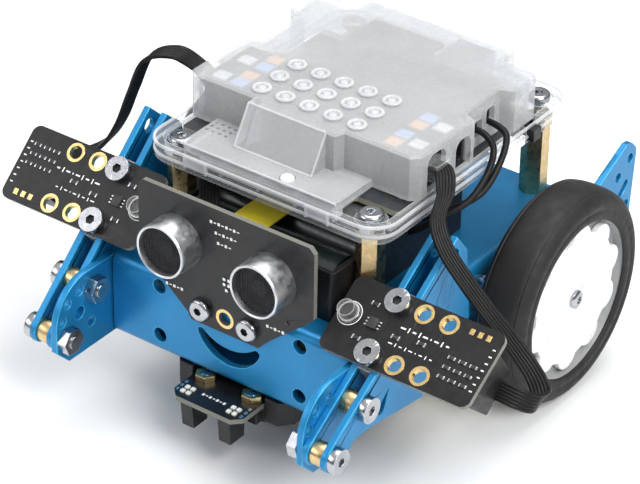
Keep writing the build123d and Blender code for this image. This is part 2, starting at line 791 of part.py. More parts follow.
def output_shaft():
    """Shaft with two flats at its wheel end and a screw hole."""
    with BuildPart() as shaft:
        with BuildSketch(Plane.YZ.offset(SHAFT_IN)):
            with Locations((0, AXLE_Z)):
                Circle(SHAFT_R)
        extrude(amount=30.3)
        with BuildSketch(Plane.YZ.offset(44.4)):
            with Locations((0, AXLE_Z - 2.85), (0, AXLE_Z + 2.85)):
                Rectangle(8.0, 2.0)
        extrude(amount=12.0, mode=Mode.SUBTRACT)
        with BuildSketch(Plane.YZ.offset(48.5)):
            with Locations((0, AXLE_Z)):
                Circle(0.92)
        extrude(amount=6.0, mode=Mode.SUBTRACT)
    return shaft.part


def gear_plane(x, y):
    return Plane(origin=(x, y, AXLE_Z), x_dir=(0, 1, 0), z_dir=(1, 0, 0))


def output_gear():
    outline = gear_points(teeth=28, root=7.75, tip=9.0, turn=math.pi, thin=0.06)
    with BuildPart() as gear:
        with BuildSketch(gear_plane(30.2, 0)):
            Polygon(*outline, align=None)
            Circle(SHAFT_R, mode=Mode.SUBTRACT)
        extrude(amount=3.6)
    return gear.part


def idler_gear():
    """Pinion, large gear, pin and a collar between the gears."""
    pinion = gear_points(teeth=10, root=2.25, tip=3.55, turn=math.pi / 10, thin=0.05)
    large = gear_points(teeth=26, root=7.0, tip=8.1, turn=0.0)
    with BuildPart() as gear:
        with BuildSketch(gear_plane(29.6, IDLER_Y)):
            Polygon(*pinion, align=None)
        extrude(amount=4.6)
        with BuildSketch(gear_plane(26.4, IDLER_Y)):
            Polygon(*large, align=None)
        extrude(amount=2.6)
        with BuildSketch(gear_plane(23.3, IDLER_Y)):
            Circle(1.0)
        extrude(amount=14.5)
        with BuildSketch(gear_plane(28.9, IDLER_Y)):
            Circle(2.2)
        extrude(amount=1.0)
    return gear.part


# ------------------------------------------------------------------ wheels, right-hand pieces
WHEEL_AXIS = Axis((0, 0, AXLE_Z), (1, 0, 0))
RIM_IN, RIM_OUT, RIM_R = 47.6, 61.4, 26.5
WEB_OUT = 59.2                    # outer face of the hub web
# Rim and web, sections (x, radius)
HUB_PROFILE = [(RIM_IN, 24.6), (RIM_IN, RIM_R), (RIM_OUT, RIM_R), (RIM_OUT, 24.4),
               (WEB_OUT, 24.0), (WEB_OUT, 2.0), (57.2, 2.0), (57.2, 23.6)]
# Sides and rim seat of the tyre, then the points of its crown (x, radius)
TYRE_SEAT = [(TYRE_IN, 28.0), (TYRE_IN, 25.0), (RIM_IN, 25.0), (RIM_IN, RIM_R),
             (RIM_OUT, RIM_R), (RIM_OUT, 23.7), (62.2, 23.5), (TYRE_OUT, 24.2),
             (TYRE_OUT, 28.0)]
TYRE_CROWN = [(61.2, 30.4), (58.4, 31.6), (54.6, WHEEL_R), (50.8, 31.6), (48.0, 30.4)]


def wheel_hub():
    with BuildPart() as hub:
        with BuildSketch(Plane.XY.offset(AXLE_Z)):
            with BuildLine():
                Polyline(*HUB_PROFILE, close=True)
            make_face()
        revolve(axis=WHEEL_AXIS)
        # boss
        with BuildSketch(Plane.YZ.offset(45.0)):
            with Locations((0, AXLE_Z)):
                Circle(6.0)
        extrude(amount=12.4)
        # scalloped face disc
        with BuildSketch(Plane.YZ.offset(59.0)):
            with Locations((0, AXLE_Z)):
                Circle(18.4)
                with PolarLocations(18.2, 10, start_angle=-24):
                    Circle(4.6)
                Circle(3.4, mode=Mode.SUBTRACT)
        extrude(amount=1.7)
        # ribs behind the web
        with BuildSketch(Plane.YZ.offset(50.5)):
            with Locations((0, AXLE_Z)):
                with PolarLocations(14.4, 6):
                    Rectangle(19.0, 1.6)
        extrude(amount=7.0)
        # double-flat bore and screw hole
        with BuildSketch(Plane.YZ.offset(44.0)):
            with Locations((0, AXLE_Z)):
                Circle(SHAFT_R + 0.02)
                Rectangle(8.0, 3.74, mode=Mode.INTERSECT)
        extrude(amount=9.6, mode=Mode.SUBTRACT)
        with BuildSketch(Plane.YZ.offset(50.0)):
            with Locations((0, AXLE_Z)):
                Circle(1.1)
        extrude(amount=15.0, mode=Mode.SUBTRACT)
    return hub.part


def tyre():
    """Crowned tyre with a lip over each rim edge."""
    with BuildPart() as rubber:
        with BuildSketch(Plane.XY.offset(AXLE_Z)):
            with BuildLine():
                seat = Polyline(*TYRE_SEAT)
                Spline(seat @ 1, *TYRE_CROWN, seat @ 0)
            make_face()
        revolve(axis=WHEEL_AXIS)
    return rubber.part


def wheel_screw():
    """Cross-head screw in the shaft end."""
    head_h = 1.5
    with BuildPart() as screw:
        with BuildSketch(Plane.YZ.offset(WEB_OUT)):
            with Locations((0, AXLE_Z)):
                Circle(2.6)
        extrude(amount=head_h)
        fillet(edges().filter_by(GeomType.CIRCLE).group_by(Axis.X)[-1], radius=0.6)
        with BuildSketch(Plane.YZ.offset(49.0)):
            with Locations((0, AXLE_Z)):
                Circle(0.9)
        extrude(amount=10.4)
        with BuildSketch(Plane.YZ.offset(WEB_OUT + head_h)):
            with Locations((0, AXLE_Z)):
                Rectangle(3.0, 0.6)
                Rectangle(0.6, 3.0)
        extrude(amount=-0.8, mode=Mode.SUBTRACT)
    return screw.part


# ------------------------------------------------------------------ line sensor and caster
LINE_TOP = WALL_BOT - 2.0
LINE_BOT = LINE_TOP - BOARD
EYE_BOT = 9.6
HOUSING_Z = 14.0                  # underside of the caster housing's plate
HEAD_SEAT = 2.0                   # depth of the counterbores for the screw heads
BALL_Y, BALL_R = -62.4, 7.2
LINE_HALF = [(9.4, -91), (12, -88.4), (12, -41)]                  # (x, y)
EYE_PROFILE = [(-90.2, LINE_BOT), (-89.4, EYE_BOT), (-83.4, EYE_BOT), (-83.0, LINE_BOT)]  # (y, z)
HOUSING_HALF = [(12, -82.6), (12, -79.6), (17, -79.6), (20, -76), (20, -62), (12, -50)]   # (x, y)
EAR_OUTLINE = [(12.5, BALL_Y), (12.5, -79.6), (17, -79.6), (20, -76), (20, BALL_Y)]       # (x, y)


def line_sensor_board():
    with BuildPart() as board:
        with BuildSketch(Plane.XY.offset(LINE_BOT)):
            with BuildLine():
                Polyline(*symmetric(LINE_HALF), close=True)
            make_face()
            with Locations(*LINE_BOLTS):
                Circle(M3_HOLE_R, mode=Mode.SUBTRACT)
        extrude(amount=BOARD)
    return board.part


def line_sensor_eyes():
    """Two sensor housings tapering downwards, each with two round pits underneath."""
    with BuildPart() as eyes:
        for x in (-6.4, 6.4):
            with BuildSketch(Plane.YZ.offset(x - 2.0)):
                with BuildLine():
                    Polyline(*EYE_PROFILE, close=True)
                make_face()
            extrude(amount=4.0)
            with BuildSketch(Plane.XY.offset(EYE_BOT)):
                with Locations((x, -88.0), (x, -84.2)):
                    Circle(1.2)
            extrude(amount=1.2, mode=Mode.SUBTRACT)
    return eyes.part


def line_nuts():
    """Nuts on the line board under the panel edge, and nuts on the lip."""
    with BuildPart() as nuts:
        with BuildSketch(Plane.XY.offset(LINE_TOP)):
            with Locations(*LINE_BOLTS):
                RegularPolygon(M3_NUT_R, 6, major_radius=False)
                Circle(M3_NUT_HOLE_R, mode=Mode.SUBTRACT)
        extrude(amount=1.8)
        with BuildSketch(Plane.XY.offset(WALL_BOT + SHEET)):
            with Locations(*LIP_BOLTS):
                RegularPolygon(M3_NUT_R, 6, major_radius=False, rotation=30)
                Circle(M3_NUT_HOLE_R, mode=Mode.SUBTRACT)
        extrude(amount=2.4)
    return nuts.part


def caster_housing():
    with BuildPart() as housing:
        with BuildSketch(Plane.XY.offset(HOUSING_Z)):
            with BuildLine():
                Polyline(*symmetric(HOUSING_HALF), close=True)
            make_face()
        extrude(amount=LINE_BOT - HOUSING_Z)
        # ears up to the lip, clear of the line board
        with BuildSketch(Plane.XY.offset(HOUSING_Z)):
            for side in (1, -1):
                with BuildLine():
                    Polyline(*[(side * x, y) for x, y in EAR_OUTLINE], close=True)
                make_face()
        extrude(amount=WALL_BOT - HOUSING_Z)
        with BuildSketch(Plane.XY.offset(5.2)):
            with Locations((0, BALL_Y)):
                Circle(9.6)
        extrude(amount=9.0)
        # spherical socket; the housing reaches below the ball's equator
        with BuildSketch(Plane.XZ.offset(-BALL_Y)):
            with Locations((0, BALL_R)):
                Circle(BALL_R + 0.08)
            with Locations((0, BALL_R)):
                Rectangle(30, 30, align=(Align.MAX, Align.CENTER), mode=Mode.SUBTRACT)
        revolve(axis=Axis((0, BALL_Y, 0), (0, 0, 1)), mode=Mode.SUBTRACT)
        # counterbores and screw holes
        with BuildSketch(Plane.XY.offset(HOUSING_Z)):
            with Locations(*LINE_BOLTS, *LIP_BOLTS):
                Circle(3.1)
        extrude(amount=HEAD_SEAT, mode=Mode.SUBTRACT)
        with BuildSketch(Plane.XY.offset(HOUSING_Z)):
            with Locations(*LINE_BOLTS, *LIP_BOLTS):
                Circle(M3_HOLE_R)
        extrude(amount=10.0, mode=Mode.SUBTRACT)
    return housing.part


def caster_ball():
    with BuildPart() as ball:
        with Locations((0, BALL_Y, BALL_R)):
            Sphere(BALL_R)
    return ball.part


def lip_screws():
    """Short screws clamp the line board to the housing, long ones hang it from the lip."""
    head_r, socket_depth = 2.8, 1.2
    with BuildPart() as screws:
        for spots, shank_length in ((LINE_BOLTS, 5.3), (LIP_BOLTS, 10.2)):
            with BuildSketch(Plane.XY.offset(HOUSING_Z)):
                with Locations(*spots):
                    Circle(head_r)
                    RegularPolygon(1.0, 6, major_radius=False, mode=Mode.SUBTRACT)
            extrude(amount=socket_depth)
            with BuildSketch(Plane.XY.offset(HOUSING_Z + socket_depth)):
                with Locations(*spots):
                    Circle(head_r)
            extrude(amount=HEAD_SEAT - socket_depth)
            with BuildSketch(Plane.XY.offset(HOUSING_Z + HEAD_SEAT)):
                with Locations(*spots):
                    Circle(M3_SHANK_R)
            extrude(amount=shank_length)
    return screws.part


# ------------------------------------------------------------------ ultrasonic distance sensor
# Board outline (x, z), +x half from the top down
ULTRASONIC_HALF = [(28.0, 77.0), (29.6, 75.4), (29.6, 55.0), (28.2, 53.4), (12.6, 40.2),
                   (12.6, 39.6), (11.4, 38.4)]
CAN_SPOTS = [(-15.8, 62.5), (15.8, 62.5)]   # (x, z)
CONE_BASE_H = 4.0


def ultrasonic_board():
    with BuildPart() as board:
        with BuildSketch(Plane.XZ.offset(-PANEL_Y)):
            with BuildLine():
                Polyline(*symmetric(ULTRASONIC_HALF), close=True)
            make_face()
            with Locations(*PANEL_BOLTS, (0, 43.2)):
                Circle(2.0, mode=Mode.SUBTRACT)
            with Locations((-21.0, 50.6), (21.0, 50.6)):
                Circle(0.8, mode=Mode.SUBTRACT)
        extrude(amount=BOARD)
    return board.part


def transducer_cans():
    """Two open tubes with an inturned front rim."""
    with BuildPart() as cans:
        with BuildSketch(Plane.XZ.offset(-SENSOR_Y)):
            with Locations(*CAN_SPOTS):
                Circle(8.0)
                Circle(7.2, mode=Mode.SUBTRACT)
        extrude(amount=8.3)
        with BuildSketch(Plane.XZ.offset(-SENSOR_Y + 7.3)):
            with Locations(*CAN_SPOTS):
                Circle(7.4)
                Circle(6.1, mode=Mode.SUBTRACT)
        extrude(amount=1.0)
        fillet(edges().filter_by(GeomType.CIRCLE).group_by(Axis.Y)[0], radius=0.4)
    return cans.part


def transducer_cones():
    with BuildPart() as cones:
        with BuildSketch(Plane.XZ.offset(-SENSOR_Y)):
            with Locations(*CAN_SPOTS):
                Circle(7.15)
        extrude(amount=CONE_BASE_H)
        with BuildSketch(Plane.XZ.offset(-SENSOR_Y + CONE_BASE_H)):
            with Locations(*CAN_SPOTS):
                Circle(3.6)
        extrude(amount=1.6, taper=38)
    return cones.part


def sensor_screws():
    return hex_screws(Plane.XZ.offset(-SENSOR_Y), PANEL_BOLTS,
                      head=(3.4, 2.0), shank=(M3_SHANK_R, 5.4), socket=(1.1, 1.3), rim=1.1)


# ------------------------------------------------------------------ sensor brackets
# Plate: an 8 mm strip with a gusset behind it, closed by a round end (along, proud)
PLATE_EDGES = [(-16.0, 4.0), (52.0, 4.0), (52.6, -4.0), (41.8, -24.4), (15.6, -24.4),
               (-6.6, -4.0), (-16.0, -4.0)]
PLATE_END_R = 4.0
# Small five-sided opening in the plate (along, proud)
PLATE_OPENING = [(1.9, -6.6), (9.6, -5.6), (4.2, -9.6), (2.2, -9.0), (1.6, -7.8)]


def bracket_plates(side):
    """The inner and outer plate of one bracket."""
    with BuildPart() as plates:
        for inboard in (PLATE_IN, PLATE_OUT):
            low_x = inboard if side > 0 else -inboard - SHEET
            with BuildSketch(strip_plane(side, low_x)):
                with BuildLine():
                    straight = Polyline(*PLATE_EDGES)
                    RadiusArc(straight @ 1, straight @ 0, PLATE_END_R)
                make_face()
                with Locations(*BOLTS, (48.0, 0)):
                    Circle(M4_HOLE_R, mode=Mode.SUBTRACT)
                with Locations((34.0, -12.0), (24.0, -12.0), (24.0, -20.0)):
                    Circle(1.6, mode=Mode.SUBTRACT)
                with BuildLine():
                    Polyline(*PLATE_OPENING, close=True)
                make_face(mode=Mode.SUBTRACT)
            extrude(amount=SHEET)
    return plates.part


def bracket_spacers():
    """Spacers between the plates on the two cross bolts."""
    with BuildPart() as spacers:
        for side, gap_x in GAPS:
            with BuildSketch(strip_plane(side, gap_x)):
                with Locations(*BOLTS):
                    Circle(3.4)
                    Circle(M4_HOLE_R, mode=Mode.SUBTRACT)
            extrude(amount=PLATE_GAP)
    return spacers.part


def bracket_screws():
    """Screws from outboard through both plates and the cheek."""
    return joined([hex_screws(strip_plane(side, side * (PLATE_OUT + SHEET)), BOLTS, out=side,
                              head=(3.7, 2.3), shank=(M4_SHANK_R, 13.4), socket=(1.25, 1.5))
                   for side in SIDES])


def bracket_nuts():
    """Nuts inside the cheeks."""
    with BuildPart() as nuts:
        for side in SIDES:
            with BuildSketch(strip_plane(side, side * WALL_IN)):
                with Locations(*BOLTS):
                    RegularPolygon(3.5, 6, major_radius=False, rotation=10)
                    Circle(2.0, mode=Mode.SUBTRACT)
            extrude(amount=-side * 3.0)
    return nuts.part


def bracket_blocks():
    """Drilled blocks in the gap between the plates, one behind each light-board screw."""
    with BuildPart() as blocks:
        for side, gap_x in GAPS:
            for row in board_rows(side):
                with BuildSketch(strip_plane(side, gap_x)):
                    with Locations((row, -0.5)):
                        Rectangle(8.0, 9.0)
                extrude(amount=PLATE_GAP)
                with BuildSketch(board_plane(side, BOARD_SEAT)):
                    with Locations((GAP_MID, side * row)):
                        Circle(1.5)
                extrude(amount=-8.4, mode=Mode.SUBTRACT)
    return blocks.part


# ------------------------------------------------------------------ light sensor boards
def light_board(side):
    """Board with two rows of three mounting holes."""
    with BuildPart() as board:
        with BuildSketch(board_plane(side, BOARD_SEAT)):
            with Locations((55.6, side * (TOP_ROW[side] - ROW_PITCH / 2))):
                RectangleRounded(47.8, 22.8, 2.6)
            for step in (0, 8, 16):
                with Locations(*[(GAP_MID + step, side * row) for row in board_rows(side)]):
                    Circle(2.1, mode=Mode.SUBTRACT)
        extrude(amount=BOARD)
    return board.part


def light_eyes():
    """Light-sensitive heads near the inner ends of the boards."""
    base_h = 1.0
    with BuildPart() as eyes:
        for side in SIDES:
            spot = (35.5, side * (TOP_ROW[side] - 7.6))
            with BuildSketch(board_plane(side, BOARD_FACE)):
                with Locations(spot):
                    Circle(2.9)
            extrude(amount=base_h)
            with BuildSketch(board_plane(side, BOARD_FACE + base_h)):
                with Locations(spot):
                    Circle(2.5)
            extrude(amount=2.6)
    return eyes.part


def sensor_sockets():
    """Cable sockets on the backs of the light and ultrasonic boards and on the line board."""
    width, opening, height = 13.4, 9.8, 12.4
    with BuildPart() as sockets:
        for side in SIDES:
            with BuildSketch(board_plane(side, BOARD_SEAT)):
                with Locations((71.8, side * (TOP_ROW[side] - ROW_PITCH / 2))):
                    Rectangle(13.6, width)
            extrude(amount=-height)
        # ultrasonic board, open downwards
        with BuildSketch(Plane.XZ.offset(-PANEL_Y - 8.6)):
            with Locations((0, 57.0)):
                Rectangle(width, 13.0)
        extrude(amount=8.6)
        with BuildSketch(Plane.XY.offset(50.4)):
            with Locations((0, PANEL_Y + 4.6)):
                Rectangle(opening, 5.6)
        extrude(amount=8.0, mode=Mode.SUBTRACT)
        # line board, open to the rear
        with BuildSketch(Plane.XY.offset(LINE_TOP)):
            with Locations((0, -49.0)):
                Rectangle(width, 14.0)
        extrude(amount=height)
        with BuildSketch(Plane.XZ.offset(42.0)):
            with Locations((0, LINE_TOP + 6.4)):
                Rectangle(opening, 7.2)
        extrude(amount=9.0, mode=Mode.SUBTRACT)
    return sockets.part


def light_screws():
    return joined([hex_screws(board_plane(side, BOARD_FACE), board_bolts(side),
                              head=(3.6, 2.3), shank=(M3_SHANK_R, 9.0), socket=(1.25, 1.4))
                   for side in SIDES])


# ------------------------------------------------------------------ cables, routes as (x, y, z)
RIGHT_CABLE = [
    (38.9, -38.8, 84.0), (43.6, -40.6, 84.6), (45.8, -46.6, 82.6), (47.0, -51.6, 78.4),
    (51.5, -53.2, 72.6), (58.5, -53.2, 65.4), (66.0, -52.2, 58.0), (74.0, -51.0, 49.4),
    (81.0, -51.0, 42.2), (86.2, -54.4, 39.0), (88.0, -60.2, 41.0), (84.8, -64.6, 44.6),
    (79.2, -66.0, 45.6)]
LEFT_CABLE = [
    (-38.9, -38.8, 84.0), (-42.8, -38.9, 88.6), (-47.8, -43.0, 92.6), (-53.6, -47.4, 90.0),
    (-57.0, -49.8, 80.0), (-61.0, -50.4, 69.0), (-67.0, -50.6, 59.6), (-76.0, -51.6, 52.2),
    (-84.4, -55.0, 49.8), (-88.4, -60.0, 51.6), (-85.0, -64.2, 54.0), (-79.2, -65.2, 54.6)]
ULTRASONIC_CABLE = [
    (-38.9, -27.4, 84.0), (-42.6, -27.5, 83.0), (-42.8, -28.2, 77.0), (-42.6, -30.0, 71.0),
    (-37.0, -39.0, 67.6), (-25.0, -55.0, 67.8), (-17.5, -65.6, 67.2), (-12.4, -72.8, 64.4),
    (-9.4, -74.4, 59.8), (-8.6, -75.2, 57.0)]
FRONT_LEAD = [
    (32.5, -13.5, 84.0), (36.6, -13.5, 84.0), (41.6, -14.6, 81.6), (42.4, -20.0, 75.4),
    (41.8, -27.6, 70.4), (37.4, -33.6, 67.0), (33.4, -36.0, 63.2), (29.6, -37.2, 60.6)]
REAR_LEAD = [
    (32.5, -7.5, 85.6), (36.8, -7.5, 85.6), (41.8, -9.0, 83.4), (43.4, -15.4, 77.0),
    (43.2, -23.0, 71.6), (39.6, -29.6, 68.8), (34.0, -31.4, 65.2), (29.6, -32.2, 62.2)]


def sensor_cables():
    return cables([RIGHT_CABLE, LEFT_CABLE, ULTRASONIC_CABLE], radius=1.6)


def battery_lead():
    return cables([FRONT_LEAD, REAR_LEAD], radius=1.0)


# ------------------------------------------------------------------ build and write
# Each file is named after the function that builds it
SINGLE_PIECES = (
    chassis, standoffs, standoff_screws, case_base, case_cover,
    control_board, board_sockets, usb_socket, battery_socket, board_chips, wireless_module,
    buzzer, push_button_body, push_button_cap, power_switch_body, power_switch_knob,
    battery_holder, battery_cells, battery_strip,
    motor_cans, motor_screws, motor_nuts,
    line_sensor_board, line_sensor_eyes, line_nuts, caster_housing, caster_ball, lip_screws,
    ultrasonic_board, transducer_cans, transducer_cones, sensor_screws,
    bracket_spacers, bracket_screws, bracket_nuts, bracket_blocks,
    light_eyes, sensor_sockets, light_screws, sensor_cables, battery_lead)
# Built on the right and mirrored to the left
MIRRORED_PIECES = (gearbox, output_shaft, output_gear, idler_gear, wheel_hub, tyre, wheel_screw)
# Built separately for each side, because the tilts differ
SIDED_PIECES = (bracket_plates, light_board)

os.makedirs("parts", exist_ok=True)
for build in SINGLE_PIECES:
    save(build.__name__, build())
for build in MIRRORED_PIECES:
    right_piece = build()
    save(f"{build.__name__}_right", right_piece)
    save(f"{build.__name__}_left", mirrored(right_piece))
for build in SIDED_PIECES:
    save(f"{build.__name__}_right", build(1))
    save(f"{build.__name__}_left", build(-1))
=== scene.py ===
"""Two-wheeled robot car with a sonar head, two tilted light boards and a see-through case.

The front faces -Y, left is -X, and the floor is at z = 0. The wheels turn about an axle
along X above the origin. Pieces are built in mm and scaled to metres when placed.
"""
import math
import bpy
import bmesh
from mathutils import Matrix, Vector


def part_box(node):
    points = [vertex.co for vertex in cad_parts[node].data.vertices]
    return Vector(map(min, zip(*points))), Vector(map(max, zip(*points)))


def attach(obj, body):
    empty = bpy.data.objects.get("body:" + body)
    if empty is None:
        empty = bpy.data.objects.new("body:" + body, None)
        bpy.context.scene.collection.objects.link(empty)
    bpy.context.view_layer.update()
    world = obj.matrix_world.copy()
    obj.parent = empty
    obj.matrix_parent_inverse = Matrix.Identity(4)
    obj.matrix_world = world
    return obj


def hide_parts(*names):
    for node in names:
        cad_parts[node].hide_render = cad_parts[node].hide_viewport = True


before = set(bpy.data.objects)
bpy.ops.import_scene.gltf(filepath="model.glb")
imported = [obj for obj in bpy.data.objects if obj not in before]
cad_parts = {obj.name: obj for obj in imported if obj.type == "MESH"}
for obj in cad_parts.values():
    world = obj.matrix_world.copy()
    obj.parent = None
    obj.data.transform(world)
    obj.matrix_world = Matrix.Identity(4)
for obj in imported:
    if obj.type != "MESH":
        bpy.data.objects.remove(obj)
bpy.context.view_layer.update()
MM = 0.001

# ---------------------------------------------------------------- main sizes, mm
LEFT, RIGHT = -1, 1                         # side signs along X
RING_Y, RING_Z, BOLT_RADIUS = -93.5, 34.9, 8.0   # centre the light boards are set out from
TILT = {LEFT: 42.5, RIGHT: 34.0}            # slope of each light board, degrees
ROW = {LEFT: 32.0, RIGHT: 28.2}             # upper hole row, measured up the slope
HOLE_PITCH = 8.0
ROW_GAP = 2 * HOLE_PITCH                    # between the two hole rows
HOLE_X = 47.0                               # innermost hole column
LIGHT_TOP = 5.6                             # upper face of a light board, off its frame
EYE_X, EYE_DROP = 35.5, 7.6                 # eye place, and its distance below the upper row
SENSOR_Y, CAN_X, CAN_Z = -81.1, 15.8, 62.5  # sonar board face and can centres
SONAR_SCREW_X, SONAR_SCREW_Z = 8.0, 43.2
LID_Z, TRAY_TOP, LEDGE_Z = 92.1, 78.5, 80.8
WHEEL_R, WHEEL_IN, WHEEL_OUT = 32.0, 46.6, 62.6
AXLE_Z = WHEEL_R                            # the tyres rest on the floor

FLAT = Matrix.Identity(4)
# local (x, up, out) of the upright sonar board
SONAR_FRAME = Matrix(((1, 0, 0, 0), (0, 0, -1, SENSOR_Y), (0, 1, 0, 0), (0, 0, 0, 1)))


def light_frame(side):
    """Local (x, up the slope, off the board) of a light board."""
    cos, sin = math.cos(math.radians(TILT[side])), math.sin(math.radians(TILT[side]))
    return Matrix((
        (1, 0, 0, 0),
        (0, cos, -sin, RING_Y + BOLT_RADIUS * cos),
        (0, sin, cos, RING_Z + BOLT_RADIUS * sin),
        (0, 0, 0, 1)))


def axle_frame(side):
    """Local frame whose Z runs outboard along the axle from the middle plane."""
    return Matrix(((0, 0, side, 0), (side, 0, 0, 0), (0, 1, 0, AXLE_Z), (0, 0, 0, 1)))


def top_of(node):
    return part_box(node)[1][2] / MM


# ---------------------------------------------------------------- material building
class Graph:
    """Node tree of a material or world, with short ways to add and join nodes."""

    def __init__(self, owner):
        owner.use_nodes = True
        self.owner = owner
        self.tree = owner.node_tree

    def feed(self, node, inputs):
        """Link each input that is given a socket, and set the others."""
        for key, value in inputs.items():
            socket = node.inputs[key]
            if isinstance(value, bpy.types.NodeSocket):
                self.tree.links.new(value, socket)
            elif socket.type == "RGBA":
                socket.default_value = (*value, 1.0)
            else:
                socket.default_value = value

    def add(self, kind, inputs=None, **settings):
        node = self.tree.nodes.new("ShaderNode" + kind)
        for key, value in settings.items():
            setattr(node, key, value)
        self.feed(node, inputs or {})
        return node

    def noise(self, scale, detail=3.0, stretch=None):
        coords = self.add("TexCoord").outputs["Object"]
        if stretch:
            mapping = self.add("Mapping", {"Vector": coords, "Scale": stretch})
            coords = mapping.outputs["Vector"]
        return self.add("TexNoise", {"Scale": scale, "Detail": detail, "Roughness": 0.55,
                                     "Vector": coords}).outputs["Fac"]

    def remap(self, value, to_min, to_max, from_min=0.35, from_max=0.65):
        return self.add("MapRange", {"From Min": from_min, "From Max": from_max,
                                     "To Min": to_min, "To Max": to_max,
                                     "Value": value}).outputs["Result"]

    def mix(self, factor, first, second):
        node = self.add("Mix", data_type="RGBA")
        self.feed(node, {"Factor": factor, "A": first, "B": second})
        return node.outputs["Result"]

    def dot(self, first, second):
        return self.add("VectorMath", {0: first, 1: second},
                        operation="DOT_PRODUCT").outputs["Value"]

    def rounded(self, radius):
        return self.add("Bevel", {"Radius": radius}, samples=4).outputs["Normal"]

    def edge_mask(self, radius, gain):
        """Rises to gain along edges, where the rounded normal leaves the flat one."""
        rounded = self.rounded(radius)
        flat = self.add("NewGeometry").outputs["Normal"]
        return self.remap(self.dot(rounded, flat), gain, 0.0, from_min=0.80, from_max=0.995)


def start_material(name):
    """A graph with only an output and a principled shader."""
    graph = Graph(bpy.data.materials.new(name))
    graph.tree.nodes.clear()
    return graph, graph.add("OutputMaterial"), graph.add("BsdfPrincipled")


def solid(name, colour, rough=0.45, metal=0.0, tone_var=0.10, tone_scale=150.0,
          rough_var=0.08, rough_scale=500.0, bump=0.15, bump_scale=2500.0, bump_depth=0.00005,
          painted_edge=None, edge_gain=0.8, edge_radius=0.0006, coat=0.0, spec=0.5, stretch=None,
          face=None, side_colour=None, subsurface=0.0):
    """Opaque material.

    *_var is the spread of a noise and *_scale its fineness. The edge colour is painted along
    every edge: a painted edge highlight where it is lighter than the body, painted edge shade
    where it is darker. side_colour covers whatever doesn't face along the face normal.
    """
    graph, output, shader = start_material(name)
    dark = tuple(c * (1 - tone_var) for c in colour)
    light = tuple(min(1.0, c * (1 + tone_var) + tone_var * 0.01) for c in colour)
    tone = graph.mix(graph.remap(graph.noise(tone_scale, 4.0, stretch), 0, 1), dark, light)
    if face is not None:
        facing = graph.dot(graph.add("NewGeometry").outputs["Normal"], face)
        either_way = graph.add("Math", {0: facing}, operation="ABSOLUTE").outputs[0]
        on_side = graph.remap(either_way, 1.0, 0.0, from_min=0.3, from_max=0.7)
        tone = graph.mix(on_side, tone, side_colour)
    # painted light along every edge: the edge colour, a painted edge highlight where it is
    # lighter than the body, painted edge shade where it is darker
    if painted_edge is not None:
        tone = graph.mix(graph.edge_mask(edge_radius, edge_gain), tone, painted_edge)
    graph.feed(shader, {
        "Base Color": tone,
        "Roughness": graph.remap(graph.noise(rough_scale, stretch=stretch),
                                 rough - rough_var, rough + rough_var),
        "Metallic": metal,
        "Coat Weight": coat,
        "Coat Roughness": 0.15,
        "Specular IOR Level": spec,
        "Subsurface Weight": subsurface,
        "Subsurface Radius": (0.002, 0.002, 0.002)})
    grain = graph.add("Bump", {"Strength": bump, "Distance": bump_depth,
                               "Height": graph.noise(bump_scale, stretch=stretch)})
    if painted_edge is not None:
        graph.feed(grain, {"Normal": graph.rounded(edge_radius * 0.7)})
    graph.feed(shader, {"Normal": grain.outputs["Normal"]})
    graph.feed(output, {"Surface": shader.outputs["BSDF"]})
    graph.owner.diffuse_color = (*colour, 1)
    return graph.owner


def clear(name, colour, body, rim, rough=0.3, blur=0.25, painted_edge=(0.95, 0.96, 0.97),
          edge_gain=0.7):
    """Clear or frosted plastic.

    The milky share goes from body, seen face on, to rim at grazing angles, and rises along
    edges, where the colour turns to the edge colour: together a painted white edge highlight.
    The rest is seen through, with the given blur.
    """
    tint = (0.96, 0.97, 0.98)
    graph, output, shader = start_material(name)
    tone = graph.mix(graph.remap(graph.noise(90.0), 0, 1),
                     tuple(c * 0.95 for c in colour), tuple(c * 1.03 for c in colour))
    # painted white edge highlight: the edge colour, and a larger milky share along the edges
    mask = graph.edge_mask(0.0007, edge_gain)
    graph.feed(shader, {
        "Base Color": graph.mix(mask, tone, painted_edge),
        "Roughness": graph.remap(graph.noise(700.0), rough - 0.06, rough + 0.06)})
    grain = graph.add("Bump", {"Strength": 0.12, "Distance": 0.00005,
                               "Height": graph.noise(2600.0, detail=2.0)})
    graph.feed(shader, {"Normal": grain.outputs["Normal"]})

    # only the camera sees the blur; light passes straight through
    blurred = graph.add("BsdfRefraction", {"Color": tint, "Roughness": blur, "IOR": 1.03})
    straight = graph.add("BsdfTransparent", {"Color": tint})
    through = graph.add("MixShader", {
        "Fac": graph.add("LightPath").outputs["Is Camera Ray"],
        1: straight.outputs["BSDF"],
        2: blurred.outputs["BSDF"]})
    grazing = graph.add("LayerWeight", {"Blend": 0.35}).outputs["Facing"]
    share = graph.add("Math", {0: graph.remap(grazing, body, rim, from_min=0.25, from_max=0.95)},
                      operation="MAXIMUM")
    edge_share = graph.add("Math", {0: mask, 1: 0.8}, operation="MULTIPLY")
    graph.feed(share, {1: edge_share.outputs[0]})
    surface = graph.add("MixShader", {"Fac": share.outputs[0], 1: through.outputs["Shader"],
                                      2: shader.outputs["BSDF"]})
    graph.feed(output, {"Surface": surface.outputs["Shader"]})
    graph.owner.diffuse_color = (*colour, 0.6)
    return graph.owner


def board_mask(name, normal):
    """Black circuit board, with bare laminate on the cut sides."""
    return solid(name, (0.0055, 0.0055, 0.0065), rough=0.36, tone_var=0.2, tone_scale=260,
                 rough_var=0.07, rough_scale=700, bump=0.12, bump_scale=1200, coat=0.12,
                 spec=0.32, face=normal, side_colour=(0.16, 0.16, 0.14))


def light_mask(name, side):
    tilt = math.radians(TILT[side])
    return board_mask(name, (0, -math.sin(tilt), math.cos(tilt)))
